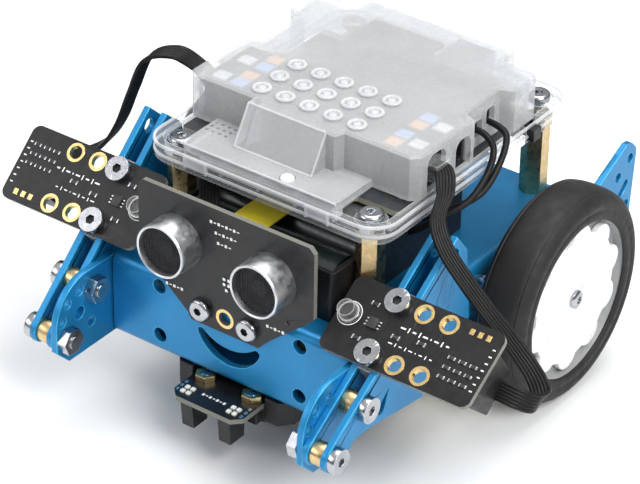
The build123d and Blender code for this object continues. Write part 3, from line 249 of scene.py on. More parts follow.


# ---------------------------------------------------------------- materials
# painted edge highlight: the bright cyan edge colour along every edge of the anodised blue
ANODISED = solid("anodised_blue", (0.008, 0.205, 0.455), rough=0.36, metal=0.45, tone_var=0.07,
                 tone_scale=60, rough_var=0.05, rough_scale=900, bump=0.35, bump_scale=5200,
                 bump_depth=0.00004, painted_edge=(0.09, 0.66, 0.97), edge_gain=0.9,
                 edge_radius=0.0005, spec=0.6)
# painted edge highlights: the lighter edge colours of the metals below
STEEL = solid("plated_steel", (0.42, 0.43, 0.45), rough=0.2, metal=1.0, tone_scale=400,
              rough_var=0.07, rough_scale=900, bump=0.2, bump_scale=3000,
              painted_edge=(0.9, 0.9, 0.92), edge_gain=0.5, edge_radius=0.0003)
BRASS = solid("brass", (0.62, 0.46, 0.24), rough=0.30, metal=1.0, tone_scale=300, bump=0.2,
              painted_edge=(0.85, 0.68, 0.4), edge_gain=0.5, edge_radius=0.0003)
GOLD = solid("gold_plate", (0.78, 0.56, 0.24), rough=0.26, metal=1.0, tone_var=0.08,
             tone_scale=800, bump=0.1)
CAN = solid("spun_can", (0.60, 0.61, 0.63), rough=0.36, metal=1.0)
CORE = solid("can_core", (0.10, 0.10, 0.105))
BRIGHT = solid("bright_aluminium", (0.80, 0.81, 0.83), rough=0.22, metal=1.0, tone_var=0.06,
               tone_scale=200, rough_var=0.05, stretch=(1, 1, 8), bump_scale=1500,
               painted_edge=(0.95, 0.95, 0.96), edge_gain=0.4, edge_radius=0.0003)
WIRE = solid("dark_wire", (0.035, 0.035, 0.038), metal=0.6, tone_var=0.15, tone_scale=900,
             bump=0.1)
# also painted shade: the dark floors set down in the screw recesses
DARK = solid("dark_cone_and_recess_shade", (0.02, 0.02, 0.022), rough=0.6, tone_var=0.15)
# painted edge highlight: grey edge colour along the edges of the black plastic
BLACK = solid("black_plastic", (0.009, 0.009, 0.010), rough=0.42, spec=0.35, tone_var=0.15,
              tone_scale=200, rough_var=0.1, bump=0.25, bump_scale=3500,
              painted_edge=(0.07, 0.07, 0.075), edge_gain=0.6, edge_radius=0.0004)
CABLE = solid("cable_jacket", (0.0035, 0.0035, 0.004), rough=0.46, spec=0.25, tone_var=0.15,
              tone_scale=300, bump=0.2, bump_scale=1800)
# painted edge sheen: lighter grey edge colour along the tyre's edges
RUBBER = solid("tyre_rubber", (0.010, 0.0092, 0.0095), spec=0.4, rough=0.62, tone_var=0.16,
               tone_scale=120, rough_scale=400, bump=0.45, bump_scale=2200,
               bump_depth=0.00008, painted_edge=(0.06, 0.06, 0.062), edge_gain=0.35)
# painted edge highlight: whiter edge colour along the edges of the white plastic
WHITE = solid("white_plastic", (0.84, 0.85, 0.87), rough=0.32, tone_var=0.03, tone_scale=90,
              rough_var=0.06, bump=0.12, bump_scale=1800, coat=0.15, subsurface=0.05,
              painted_edge=(0.93, 0.94, 0.95), edge_gain=0.4, edge_radius=0.0005)
CONTROL_MASK = solid("control_board_mask", (0.030, 0.034, 0.037), rough=0.35, tone_var=0.2,
                     tone_scale=250, face=(0, 0, 1), side_colour=(0.28, 0.27, 0.22), coat=0.3)
MASK_LEFT = light_mask("mask_left", LEFT)
MASK_RIGHT = light_mask("mask_right", RIGHT)
MASK_FRONT = board_mask("mask_front", (0, 1, 0))
MASK_FLAT = board_mask("mask_flat", (0, 0, 1))
INK = solid("white_ink", (0.80, 0.80, 0.78), rough=0.55, tone_var=0.06, tone_scale=700,
            bump=0.1)
SOLDER = solid("solder", (0.62, 0.63, 0.64), rough=0.28, metal=1.0, tone_var=0.12,
               tone_scale=1500)
# painted edge shade: darker grey edge colour along the edges of the white chips
CHIP_WHITE = solid("white_chip", (0.78, 0.78, 0.74), rough=0.4, tone_var=0.08, tone_scale=700,
                   painted_edge=(0.5, 0.5, 0.5), edge_gain=0.4, edge_radius=0.0002)
# painted edge highlight: grey edge colour along the edges of the black chips
CHIP_BLACK = solid("chip_black", (0.02, 0.02, 0.022), rough=0.5, tone_var=0.2, tone_scale=900,
                   painted_edge=(0.09, 0.09, 0.09), edge_gain=0.6, edge_radius=0.0002)
# spare colour of the palette, on no piece
solid("chip_tan", (0.42, 0.33, 0.20), tone_var=0.15, tone_scale=900)
YELLOW = solid("label_yellow", (0.90, 0.72, 0.04), rough=0.5, tone_var=0.08)
GEARBOX = solid("gearbox_yellow", (0.72, 0.52, 0.06), rough=0.48, tone_var=0.07,
                tone_scale=100, bump=0.25)
MOTOR = solid("motor_can_steel", (0.50, 0.51, 0.52), rough=0.34, metal=1.0, tone_var=0.12,
              tone_scale=120, stretch=(1, 6, 1))
CELL = solid("cell_wrap", (0.008, 0.014, 0.014), rough=0.35, tone_scale=80, coat=0.4)
DOT_ORANGE = solid("dot_orange", (0.93, 0.46, 0.16), rough=0.5, tone_var=0.05, tone_scale=300)
DOT_BLUE = solid("dot_blue", (0.32, 0.52, 0.92), rough=0.5, tone_var=0.05, tone_scale=300)
DOT_WHITE = solid("dot_white", (0.85, 0.85, 0.85), rough=0.5, tone_var=0.04, tone_scale=300)
# painted white edge highlights: the edge colours of the clear and frosted materials below
FROSTED = clear("frosted_lid", (0.66, 0.67, 0.68), body=0.36, rim=0.55, rough=0.26, blur=0.22,
                edge_gain=0.35)
CLEAR = clear("clear_tray", (0.74, 0.75, 0.76), body=0.07, rim=0.45, rough=0.14, blur=0.05)
RIM_GREY = clear("rim_grey", (0.52, 0.53, 0.54), body=0.62, rim=0.95, painted_edge=(0.75, 0.76, 0.77))
LENS = clear("lamp_lens", (0.86, 0.87, 0.88), body=0.30, rim=0.62, rough=0.10, blur=0.05,
             painted_edge=(1, 1, 1), edge_gain=0.5)
RIDGE = clear("clear_ridge", (0.88, 0.89, 0.90), body=0.30, rim=0.75, rough=0.12, blur=0.05,
              painted_edge=(1, 1, 1), edge_gain=0.5)
EYE = clear("eye_lens", (0.60, 0.60, 0.56), body=0.10, rim=0.6, rough=0.10, blur=0.05)
BLOCK = clear("spacer_block_clear", (0.75, 0.78, 0.80), body=0.2, rim=0.6, rough=0.2,
              blur=0.08)

# ---------------------------------------------------------------- dressing of the CAD bodies
BODY_MATERIALS = (
    (ANODISED, "chassis bracket_plates_left bracket_plates_right"),
    (BRASS, "bracket_spacers standoffs line_nuts"),
    (BLOCK, "bracket_blocks"),
    (STEEL, "bracket_nuts motor_nuts bracket_screws light_screws sensor_screws"
            " standoff_screws lip_screws motor_screws wheel_screw_left wheel_screw_right"
            " usb_socket caster_ball"),
    (FROSTED, "case_cover"),
    (CLEAR, "case_base"),
    (CONTROL_MASK, "control_board"),
    (MASK_LEFT, "light_board_left"),
    (MASK_RIGHT, "light_board_right"),
    (MASK_FRONT, "ultrasonic_board"),
    (MASK_FLAT, "line_sensor_board"),
    (EYE, "light_eyes"),
    (CHIP_BLACK, "board_chips"),
    (BLACK, "wireless_module buzzer power_switch_body power_switch_knob board_sockets"
            " sensor_sockets battery_socket line_sensor_eyes caster_housing battery_holder"
            " push_button_body"),
    (WHITE, "push_button_cap output_shaft_left output_shaft_right output_gear_left"
            " output_gear_right idler_gear_left idler_gear_right wheel_hub_left"
            " wheel_hub_right"),
    (CELL, "battery_cells"),
    (YELLOW, "battery_strip"),
    (BRIGHT, "transducer_cans"),
    (DARK, "transducer_cones"),
    (GEARBOX, "gearbox_left gearbox_right"),
    (MOTOR, "motor_cans"),
    (RUBBER, "tyre_left tyre_right"),
    (CABLE, "sensor_cables battery_lead"),
)
# bevel width in mm, bodies
BODY_BEVELS = (
    (0.35, "case_cover case_base caster_housing"),
    (0.30, "chassis bracket_plates_left bracket_plates_right sensor_sockets board_sockets"
           " line_sensor_eyes bracket_blocks"),
    (0.25, "power_switch_knob"),
    (0.20, "wireless_module"),
    (0.15, "standoffs"),
    (0.12, "light_screws sensor_screws bracket_screws transducer_cans line_nuts bracket_nuts"
           " motor_nuts bracket_spacers standoff_screws"),
    (0.08, "light_board_left light_board_right ultrasonic_board line_sensor_board"),
)


def by_body(table):
    return {name: value for value, names in table for name in names.split()}


def soften(body, width):
    """Weld the CAD vertices, then round the edges."""
    weld = body.modifiers.new("weld", "WELD")
    weld.merge_threshold = 0.000004
    bevel = body.modifiers.new("bevel", "BEVEL")
    bevel.width = width * MM
    bevel.segments = 2
    bevel.limit_method = "ANGLE"
    bevel.angle_limit = math.radians(38)
    bevel.harden_normals = False


def dress_bodies():
    materials, widths = by_body(BODY_MATERIALS), by_body(BODY_BEVELS)
    for name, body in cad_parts.items():
        if name in materials:
            if not body.material_slots:
                body.data.materials.append(materials[name])
            for slot in body.material_slots:
                slot.material = materials[name]
        if name in widths:
            soften(body, widths[name])


dress_bodies()


# ---------------------------------------------------------------- mesh building, mm
def move(x, y, z):
    return Matrix.Translation((x, y, z))


def ellipse(half_width, half_height, count):
    angles = [2 * math.pi * k / count for k in range(count)]
    return [(half_width * math.cos(a), half_height * math.sin(a)) for a in angles]


def join_rings(mesh, first, second):
    count = len(first)
    for i in range(count):
        j = (i + 1) % count
        mesh.faces.new((first[i], first[j], second[j], second[i]))


class Piece:
    """One object, put together from simple solids."""

    def __init__(self):
        self.mesh = bmesh.new()

    def merge(self, part, matrix):
        data = bpy.data.meshes.new("part")
        part.to_mesh(data)
        part.free()
        data.transform(matrix)
        self.mesh.from_mesh(data)
        bpy.data.meshes.remove(data)

    def box(self, centre, size, matrix=FLAT, bevel=0.15, seg=2, turn=0.0):
        part = bmesh.new()
        bmesh.ops.create_cube(part, size=1.0)
        bmesh.ops.scale(part, vec=size, verts=part.verts)
        bmesh.ops.bevel(part, geom=list(part.edges), offset=min(bevel, min(size) * 0.35),
                        segments=seg, profile=0.6, affect="EDGES")
        self.merge(part, matrix @ move(*centre) @ Matrix.Rotation(turn, 4, "Z"))

    def mark(self, x, y, top, width, height, matrix=FLAT):
        """Thin printed or plated dash lying on a face."""
        self.box((x, y, top + 0.02), (width, height, 0.04), matrix, bevel=0.01, seg=1)

    def lathe(self, profile, matrix=FLAT, seg=64):
        """Turn a closed profile of (radius, height) points about local Z."""
        part = bmesh.new()
        rings = []
        for k in range(seg):
            a = 2 * math.pi * k / seg
            rings.append([part.verts.new((r * math.cos(a), r * math.sin(a), h))
                          for r, h in profile])
        count = len(profile)
        for k in range(seg):
            first, second = rings[k], rings[(k + 1) % seg]
            for i in range(count):
                j = (i + 1) % count
                part.faces.new((first[i], second[i], second[j], first[j]))
        bmesh.ops.remove_doubles(part, verts=part.verts, dist=1e-6)
        bmesh.ops.recalc_face_normals(part, faces=part.faces)
        self.merge(part, matrix)

    def ring(self, centre, inner, outer, height, matrix=FLAT, seg=40):
        """Flat washer with its two upper edges chamfered."""
        b = min(0.05, height * 0.3)
        self.lathe([(inner, 0), (outer, 0), (outer, height - b), (outer - b, height),
                    (inner + b, height), (inner, height - b)], matrix @ move(*centre), seg)

    def prism(self, outline, height, matrix, bevel, seg):
        part = bmesh.new()
        face = part.faces.new([part.verts.new((x, y, 0)) for x, y in outline])
        made = bmesh.ops.extrude_face_region(part, geom=[face])["geom"]
        raised = [v for v in made if isinstance(v, bmesh.types.BMVert)]
        bmesh.ops.translate(part, vec=(0, 0, height), verts=raised)
        bmesh.ops.recalc_face_normals(part, faces=part.faces)
        level = [e for e in part.edges if abs(e.verts[0].co.z - e.verts[1].co.z) < 1e-6]
        bmesh.ops.bevel(part, geom=level, offset=bevel, segments=seg, profile=0.6,
                        affect="EDGES")
        self.merge(part, matrix)

    def sweep(self, stations, section, wide=None, steps=8):
        """Run a closed section along a Catmull-Rom path.

        wide gives the section's width direction at each station; without it the direction
        starts upright and is carried along.
        """
        points = [Vector(p) for p in stations]
        path, directions = [], []
        for i in range(len(points) - 1):
            p0, p1, p2 = points[max(i - 1, 0)], points[i], points[i + 1]
            p3 = points[min(i + 2, len(points) - 1)]
            for k in range(steps):
                u = k / steps
                path.append(0.5 * ((2 * p1) + (p2 - p0) * u
                                   + (2 * p0 - 5 * p1 + 4 * p2 - p3) * u * u
                                   + (3 * p1 - p0 - 3 * p2 + p3) * u ** 3))
                if wide:
                    directions.append(Vector(wide[i]).lerp(Vector(wide[i + 1]), u))
        path.append(points[-1])
        if wide:
            directions.append(Vector(wide[-1]))
        part = bmesh.new()
        rings, across = [], Vector((0, 0, 1))
        for i, p in enumerate(path):
            along = (path[min(i + 1, len(path) - 1)] - path[max(i - 1, 0)]).normalized()
            if wide:
                across = directions[i]
            across = (across - along * across.dot(along)).normalized()
            thick = along.cross(across)
            rings.append([part.verts.new(p + across * a + thick * b) for a, b in section])
        for first, second in zip(rings, rings[1:]):
            join_rings(part, first, second)
        part.faces.new(rings[0][::-1])
        part.faces.new(rings[-1])
        bmesh.ops.recalc_face_normals(part, faces=part.faces)
        self.merge(part, FLAT)

    def hoop(self, loop, section):
        """Run a section of (outward, up) points round a closed level loop."""
        part = bmesh.new()
        rings = []
        for i, p in enumerate(loop):
            along = (Vector(loop[(i + 1) % len(loop)]) - Vector(loop[i - 1])).normalized()
            outward = Vector((along.y, -along.x, 0))
            rings.append([part.verts.new(Vector(p) + outward * x + Vector((0, 0, y)))
                          for x, y in section])
        for i, ring in enumerate(rings):
            join_rings(part, ring, rings[(i + 1) % len(rings)])
        bmesh.ops.recalc_face_normals(part, faces=part.faces)
        self.merge(part, FLAT)

    def place(self, name, material, slot, smooth=35.0, body="chassis_frame", replaces=None):
        """Turn the piece into an object riding on body; smooth is the sharp-edge angle."""
        bmesh.ops.scale(self.mesh, vec=(MM, MM, MM), verts=self.mesh.verts)
        data = bpy.data.meshes.new(name)
        self.mesh.to_mesh(data)
        self.mesh.free()
        data.materials.append(material)
        placed = bpy.data.objects.new(name, data)
        bpy.context.collection.objects.link(placed)
        data.shade_smooth()
        data.set_sharp_from_angle(angle=math.radians(smooth))
        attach(placed, body)
        if replaces:
            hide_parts(replaces)


# ---------------------------------------------------------------- wheels
# Profiles are (radius, distance from the middle plane).
TYRE_INNER_BEAD = [(26.5, 47.6), (25.0, 47.6), (24.9, 46.9), (25.5, WHEEL_IN),
                   (28.0, WHEEL_IN), (29.2, 46.9)]
TYRE_OUTER_BEAD = [(29.4, 62.25), (28.6, WHEEL_OUT), (27.2, WHEEL_OUT), (26.9, 62.4),
                   (26.5, 62.4), (26.2, WHEEL_OUT), (24.6, WHEEL_OUT), (24.0, 62.3),
                   (23.7, 61.8), (24.0, 61.4), (26.5, 61.4)]
TREAD_IN, TREAD_WIDTH = 47.4, 14.4
RIM_BARREL = [(26.45, 47.7), (26.45, 61.35), (24.5, 61.35), (24.2, 60.9), (23.5, 58.9),
              (23.1, 58.7), (2.3, 58.7), (2.3, 56.6), (23.2, 56.6), (24.4, 55.8), (24.4, 47.7)]
RIM_BOSS = [(2.75, 45.2), (5.8, 45.2), (6.0, 45.4), (6.0, 57.3), (2.75, 57.3)]
SPOKE_R, SPOKE_X, SPOKE_SIZE = 14.4, 53.6, (18.6, 1.5, 6.6)
HUB_BACK, HUB_THICK = 58.9, 1.9
HUB_FACE = HUB_BACK + HUB_THICK
LOBES, LOBE_CENTRE, LOBE_R = 10, 18.2, 4.6
# (radius, height above the hub face)
HUB_SCREW = [(0, 0), (2.7, 0), (2.7, 0.7), (2.3, 1.15), (1.6, 1.4), (1.15, 1.45), (1.1, 0.6),
             (0, 0.6)]


def tyre(axle, name):
    """Crowned tread with a fine seam round the middle and a groove near each shoulder."""
    tread = []
    for i in range(19):
        u = i / 18.0
        x = TREAD_IN + u * TREAD_WIDTH
        off = abs(2 * u - 1)
        r = WHEEL_R - 1.15 * off ** 2.6 - 0.75 * off ** 9
        if i == 9:
            tread += [(r - 0.02, x - 0.22), (r, x), (r - 0.02, x + 0.22)]
        elif i in (2, 16):
            tread += [(r, x - 0.25), (r - 0.28, x), (r, x + 0.25)]
        else:
            tread.append((r, x))
    piece = Piece()
    piece.lathe(TYRE_INNER_BEAD + tread + TYRE_OUTER_BEAD, axle, 128)
    piece.place("tyre_shell_" + name, RUBBER, "tyre_rubber", 40, "wheel_" + name,
                "tyre_" + name)


def rim(axle, name):
    """Barrel with its web, a boss and six spokes."""
    piece = Piece()
    piece.lathe(RIM_BARREL, axle, 96)
    piece.lathe(RIM_BOSS, axle, 48)
    for k in range(6):
        a = k * math.pi / 3
        piece.box((SPOKE_R * math.cos(a), SPOKE_R * math.sin(a), SPOKE_X), SPOKE_SIZE, axle,
                  bevel=0.2, turn=a)
    piece.place("rim_" + name, RIM_GREY, "white_plastic", body="wheel_" + name)


def hub_disc(axle, name):
    """Scalloped face disc: arcs of ten lobes, each cut where it leaves its own sector."""
    outline = []
    for k in range(LOBES):
        middle = math.radians(-24 + 360 // LOBES * k)
        for j in range(-9, 10):
            a = middle + j * math.radians(10.8)
            x = LOBE_CENTRE * math.cos(middle) + LOBE_R * math.cos(a)
            y = LOBE_CENTRE * math.sin(middle) + LOBE_R * math.sin(a)
            away = (math.atan2(y, x) - middle + math.pi) % (2 * math.pi) - math.pi
            if abs(away) <= math.radians(13.2):
                outline.append((x, y))
    piece = Piece()
    piece.prism(outline, HUB_THICK, axle @ move(0, 0, HUB_BACK), bevel=0.35, seg=3)
    piece.ring((0, 0, HUB_FACE), 4.1, 5.2, 0.25, axle, 48)
    piece.ring((0, 0, HUB_FACE), 14.6, 15.2, 0.18, axle, 72)
    piece.place("hub_disc_" + name, WHITE, "white_plastic", 30, "wheel_" + name,
                "wheel_hub_" + name)


def hub_screw(axle, name):
    piece = Piece()
    piece.lathe(HUB_SCREW, axle @ move(0, 0, HUB_FACE), 40)
    piece.place("hub_screw_head_" + name, STEEL, "steel_fastener", body="wheel_" + name)


for side, side_name in ((LEFT, "left"), (RIGHT, "right")):
    for build in (tyre, rim, hub_disc, hub_screw):
        build(axle_frame(side), side_name)

# ---------------------------------------------------------------- sonar
# (radius, distance out from the board)
CAN_SHELL = [(8.0, 0.0), (8.0, 7.6), (7.95, 8.0), (7.75, 8.26), (7.4, 8.3), (7.15, 8.12),
             (7.05, 7.6), (7.05, 0.0)]
CAN_CORE = [(0, 5.4), (2.2, 5.4), (2.35, 5.15), (2.35, 4.0)]
CAN_FLOOR_OUT = 3.4
CAN_FLOOR = [(0, 0), (7.04, 0), (7.04, 0.38), (7.004, 0.464), (6.92, 0.5), (0, 0.5)]
MESH_OUT, MESH_R, WIRE_PITCH, WIRE_WIDTH, WIRE_THICK = 6.55, 7.0, 0.80, 0.17, 0.15
SONAR_SOLDER = ((0.0, 54.6), (1.6, 54.6), (0.0, 56.2), (1.6, 56.2), (0.8, 52.9))
# x of the first mark, height, count
SONAR_INK = ((-20.0, 46.9, 5), (14.4, 46.9, 5), (-4.6, 72.6, 8), (-3.0, 69.6, 6),
             (-2.2, 66.6, 4))


def can_frames(out=0.0):
    return [SONAR_FRAME @ move(x, CAN_Z, out) for x in (-CAN_X, CAN_X)]


def can_pair(profile, seg, out=0.0):
    piece = Piece()
    for can in can_frames(out):
        piece.lathe(profile, can, seg)
    return piece


def wire_mesh():
    """Two crossed layers of wires over the mouth of each can."""
    piece = Piece()
    for can in can_frames(MESH_OUT):
        for k in range(-8, 9):
            at = k * WIRE_PITCH
            length = 2 * math.sqrt(MESH_R * MESH_R - at * at)
            piece.box((0, at, 0.10), (length, WIRE_WIDTH, WIRE_THICK), can, 0.04, 1)
            piece.box((at, 0, 0.22), (WIRE_WIDTH, length, WIRE_THICK), can, 0.04, 1)
    piece.place("sonar_wire_mesh", WIRE, "dark_mesh", 30)


def sonar_board_marks():
    piece = Piece()
    piece.ring((0, SONAR_SCREW_Z, 0.0), 2.05, 3.0, 0.07, SONAR_FRAME)
    piece.place("sonar_gold_pads", GOLD, "board_black")
    piece = Piece()
    for x, z in SONAR_SOLDER:
        piece.box((x, z, 0.2), (0.95, 0.95, 0.4), SONAR_FRAME, 0.12)
    piece.place("sonar_solder_dots", SOLDER, "board_black", 30)
    piece = Piece()
    for x, z, count in SONAR_INK:
        for i in range(count):
            piece.mark(x + 1.3 * i, z, 0, 0.8, 0.35 if i % 2 else 0.9, SONAR_FRAME)
    piece.place("sonar_ink_marks", INK, "board_black", 30)


def screw_recess_shade():
    """Painted shade: dark floors set down in the hex recesses of the sonar and light board
    screws.
    """
    piece = Piece()
    for x in (-SONAR_SCREW_X, SONAR_SCREW_X):
        piece.prism(ellipse(1.24, 1.24, 6), 0.12, SONAR_FRAME @ move(x, SONAR_SCREW_Z, 0.72),
                    bevel=0.02, seg=1)
    for side in (LEFT, RIGHT):
        for row in (ROW[side], ROW[side] - ROW_GAP):
            piece.prism(ellipse(1.42, 1.42, 6), 0.12,
                        light_frame(side) @ move(side * HOLE_X, row, 6.52), bevel=0.02, seg=1)
    piece.place("screw_recess_shade", DARK, "dark_mesh", 30)


wire_mesh()
can_pair(CAN_SHELL, 96).place("sonar_can_shells", CAN, "bright_aluminium", 40,
                              replaces="transducer_cans")
can_pair(CAN_CORE, 40).place("sonar_can_cores", CORE, "dark_mesh")
can_pair(CAN_FLOOR, 64, CAN_FLOOR_OUT).place("sonar_can_floors", DARK, "dark_mesh")
sonar_board_marks()
screw_recess_shade()

# ---------------------------------------------------------------- light boards
# In the tables x is outward from the middle of the car, and up is from between the hole rows.
BOARD_PARTS = ((41.0, 5.4), (41.0, -5.2), (58.8, 0.1), (51.2, -1.0))     # x, up
CHIP_X = 43.2
# (width, height) of the dashes in the upper line; the lower line repeats them smaller
DASHES = ((2.2, 0.45), (0.45, 1.5), (1.5, 0.45), (0.45, 1.5), (2.0, 0.45), (0.5, 0.5),
          (1.8, 0.45), (0.45, 1.5), (1.3, 0.45))
HOLE_SLEEVE = [(2.0, 3.95), (2.12, 3.95), (2.12, LIGHT_TOP + 0.07), (2.0, LIGHT_TOP + 0.07)]


def light_gold(piece, board, side, row, middle, flip):
    """Plated holes, and three pads by the outer end."""
    for x in (HOLE_X, HOLE_X + HOLE_PITCH, HOLE_X + 2 * HOLE_PITCH):
        for up in (row, row - ROW_GAP):
            piece.ring((side * x, up, LIGHT_TOP), 2.12, 2.85, 0.07, board)
            piece.lathe(HOLE_SLEEVE, board @ move(side * x, up, 0), 32)
    for i in range(3):
        piece.box((side * (69.8 + 2.6 * i), middle + flip * 8.6, LIGHT_TOP + 0.04),
                  (1.35, 1.7, 0.08), board, 0.03, 1)


def light_parts(chips, solder, board, side, middle, flip):
    """Grid of small parts by the outer end, one larger chip and four single parts."""
    def small_part(x, y, length, end_at, end_size, end_bevel):
        chips.box((x, y, LIGHT_TOP + 0.25), (length, 0.9, 0.5), board, 0.1)
        for end in (-1, 1):
            solder.box((x + end * end_at, y, LIGHT_TOP + 0.2), end_size, board, end_bevel)

    for i in range(3):
        for j in range(3):
            small_part(side * (68.6 + 3.4 * i), middle - flip * (1.6 + 2.9 * j) + flip * 1.4,
                       length=1.5, end_at=0.85, end_size=(0.6, 0.95, 0.4), end_bevel=0.12)
    x, y = side * CHIP_X, middle + flip * 0.2
    chips.box((x, y, LIGHT_TOP + 0.45), (2.9, 3.0, 0.9), board, 0.12)
    for end in (-1, 1):
        for j in range(3):
            solder.box((x + end * 1.9, y + (j - 1) * 0.95, LIGHT_TOP + 0.12),
                       (0.9, 0.4, 0.22), board, 0.05)
    for x, up in BOARD_PARTS:
        small_part(side * x, middle + up, length=1.6, end_at=1.05,
                   end_size=(0.45, 1.25, 0.4), end_bevel=0.1)


def light_ink(piece, board, side, row, middle):
    """Ring round the eye, two lines of dashes and a column of ticks."""
    piece.ring((side * EYE_X, row - EYE_DROP, LIGHT_TOP), 3.35, 3.6, 0.04, board, 48)
    for i, (w, h) in enumerate(DASHES):
        piece.mark(side * (51.8 + 1.75 * i), middle + 2.2, LIGHT_TOP, w * 0.75, h, board)
        piece.mark(side * (50.6 + 1.6 * i), middle - 2.9, LIGHT_TOP, w * 0.6, h * 0.7, board)
    for k in range(7):
        piece.mark(side * 78.0, middle - 6.4 + 2.1 * k, LIGHT_TOP, 0.9, 0.35, board)


def light_boards():
    gold, ink, solder, chips = Piece(), Piece(), Piece(), Piece()
    for side in (LEFT, RIGHT):
        board, row = light_frame(side), ROW[side]
        middle = row - ROW_GAP / 2
        flip = side     # the left board carries some parts upside down
        light_gold(gold, board, side, row, middle, flip)
        light_parts(chips, solder, board, side, middle, flip)
        light_ink(ink, board, side, row, middle)
    gold.place("light_board_gold", GOLD, "board_black")
    ink.place("light_board_ink", INK, "board_black", 30)
    solder.place("light_board_solder", SOLDER, "board_black", 30)
    chips.place("light_board_chips", CHIP_BLACK, "board_black", 30)


def eye_collars():
    piece = Piece()
    for side in (LEFT, RIGHT):
        piece.lathe([(2.72, 0), (3.1, 0), (3.1, 0.75), (2.98, 0.95), (2.72, 0.95)],
                    light_frame(side) @ move(side * EYE_X, ROW[side] - EYE_DROP, LIGHT_TOP),
                    40)
    piece.place("eye_collars", STEEL, "eye_clear")


light_boards()
eye_collars()


# ---------------------------------------------------------------- line sensor board
def line_board():
    top = top_of("line_sensor_board")
    parts, pads, ink = Piece(), Piece(), Piece()
    for side in (LEFT, RIGHT):
        for i in range(2):
            for j in range(2):
                parts.box((side * (7.0 + 1.9 * i), -88.4 + 2.1 * j, top + 0.35),
                          (1.25, 1.35, 0.7))
        for j in range(3):
            pads.box((side * 11.0, -88.0 + 2.0 * j, top + 0.06), (0.9, 1.2, 0.12), bevel=0.03)
    for i in range(7):
        ink.mark(-3.6 + 1.2 * i, -86.0, top, 0.7, 0.35 if i % 2 else 1.0)
    parts.place("line_board_parts", CHIP_WHITE, "board_black", 30)
    pads.place("line_board_pads", SOLDER, "board_black", 30)
    ink.place("line_board_ink", INK, "board_black", 30)


line_board()

# ---------------------------------------------------------------- under and on the lid
# (x, y) of the colour dots on the sockets
PORT_DOTS = (
    ("orange", DOT_ORANGE, ((26.0, -41.0), (26.4, -30.0), (-25.8, -36.8), (-25.4, -25.6))),
    ("blue", DOT_BLUE, ((26.0, -36.2), (26.4, -25.2), (-25.8, -41.2), (-25.4, -30.4))),
    ("white", DOT_WHITE, ((32.0, -38.2), (32.4, -27.2), (-32.0, -41.0), (-31.8, -30.2))),
)
LAMP_PITCH, LAMP_Y = 8, -36.1
# (radius, height)
LAMP_COLLAR = [(1.75, 0.0), (2.55, -0.3), (2.75, 0.05), (2.5, 0.42), (2.1, 0.52), (1.8, 0.3)]
LAMP_DOME = [(0, 0), (1.1, 0), (0.98, 0.22), (0.6, 0.40), (0, 0.46)]


def port_dots():
    socket_top = top_of("board_sockets")
    for key, material, spots in PORT_DOTS:
        piece = Piece()
        for x, y in spots:
            piece.box((x, y, socket_top + 0.25), (4.6, 4.2, 0.5), bevel=0.2)
        piece.place("port_dots_" + key, material, "white_plastic", 30)


def lamp_lenses():
    """Five by three lenses, each a collar round a low dome."""
    piece = Piece()
    for ix in range(-2, 3):
        for iy in range(-1, 2):
            lamp = move(LAMP_PITCH * ix, LAMP_Y + LAMP_PITCH * iy, LID_Z + 0.78)
            piece.lathe(LAMP_COLLAR, lamp, 40)
            piece.lathe(LAMP_DOME, lamp, 28)
    piece.place("lamp_lenses", LENS, "frosted_plastic", 50)


port_dots()
lamp_lenses()

# ---------------------------------------------------------------- case ridges and beads
TRAY_Y, TRAY_WIDTH, TRAY_LENGTH, TRAY_CORNER = -19.6, 80.0, 93.6, 8.0
SLOPE_LEFT, SLOPE_RIGHT = -15.0, 11.0       # sides of the sloped face at the cover's front
COVER_EDGES = (
    ((SLOPE_LEFT, -51.3, LID_Z - 0.3), (SLOPE_LEFT, -57.6, LEDGE_Z + 0.3)),
    ((SLOPE_RIGHT, -51.3, LID_Z - 0.3), (SLOPE_RIGHT, -57.6, LEDGE_Z + 0.3)),
    ((SLOPE_LEFT, -51.4, LID_Z - 0.25), (SLOPE_RIGHT, -51.4, LID_Z - 0.25)),
    ((SLOPE_LEFT, -57.6, LEDGE_Z + 0.2), (SLOPE_RIGHT, -57.6, LEDGE_Z + 0.2)),
    ((-28.0, -64.5, LEDGE_Z - 0.1), (24.2, -64.5, LEDGE_Z - 0.1)),
)


def tray_loop(grow, z, steps=8):
    """Rounded rectangle round the tray, widened by grow."""
    across = (TRAY_WIDTH + grow) / 2 - TRAY_CORNER
    along = (TRAY_LENGTH + grow) / 2 - TRAY_CORNER
    points = []
    for sx, sy, start in ((1, 1, 0), (-1, 1, 90), (-1, -1, 180), (1, -1, 270)):
        for k in range(steps + 1):
            a = math.radians(start + 90 * k / steps)
            points.append((sx * across + TRAY_CORNER * math.cos(a),
                           TRAY_Y + sy * along + TRAY_CORNER * math.sin(a), z))
    return points


def tray_ridges():
    """Two ridges round the tray, and two tongues on its front, each between two bars."""
    piece = Piece()
    for drop, grow in ((0.2, 0.1), (3.1, 0.0)):
        piece.hoop(tray_loop(grow, TRAY_TOP - drop), ellipse(0.42, 0.55, 10))
    for x in (-21.5, 19.5):
        piece.box((x, -66.45, 76.9), (6.4, 0.9, 2.6), bevel=0.25)
        for bar in (-3.6, 3.6):
            piece.box((x + bar, -66.5, 76.6), (0.7, 1.0, 3.6), bevel=0.2)
    piece.place("tray_ridges", RIDGE, "clear_plastic", 45)


def tray_inner_ribs():
    """Ribs standing inside the front of the tray, and the bar before them."""
    piece = Piece()
    for i in range(5):
        piece.box((-27.0 + 12.5 * i, -62.2, 76.6), (0.7, 4.2, 3.8))
    piece.box((1.6, -64.4, 77.0), (46.0, 0.5, 2.6))
    piece.place("tray_inner_ribs", RIDGE, "clear_plastic")


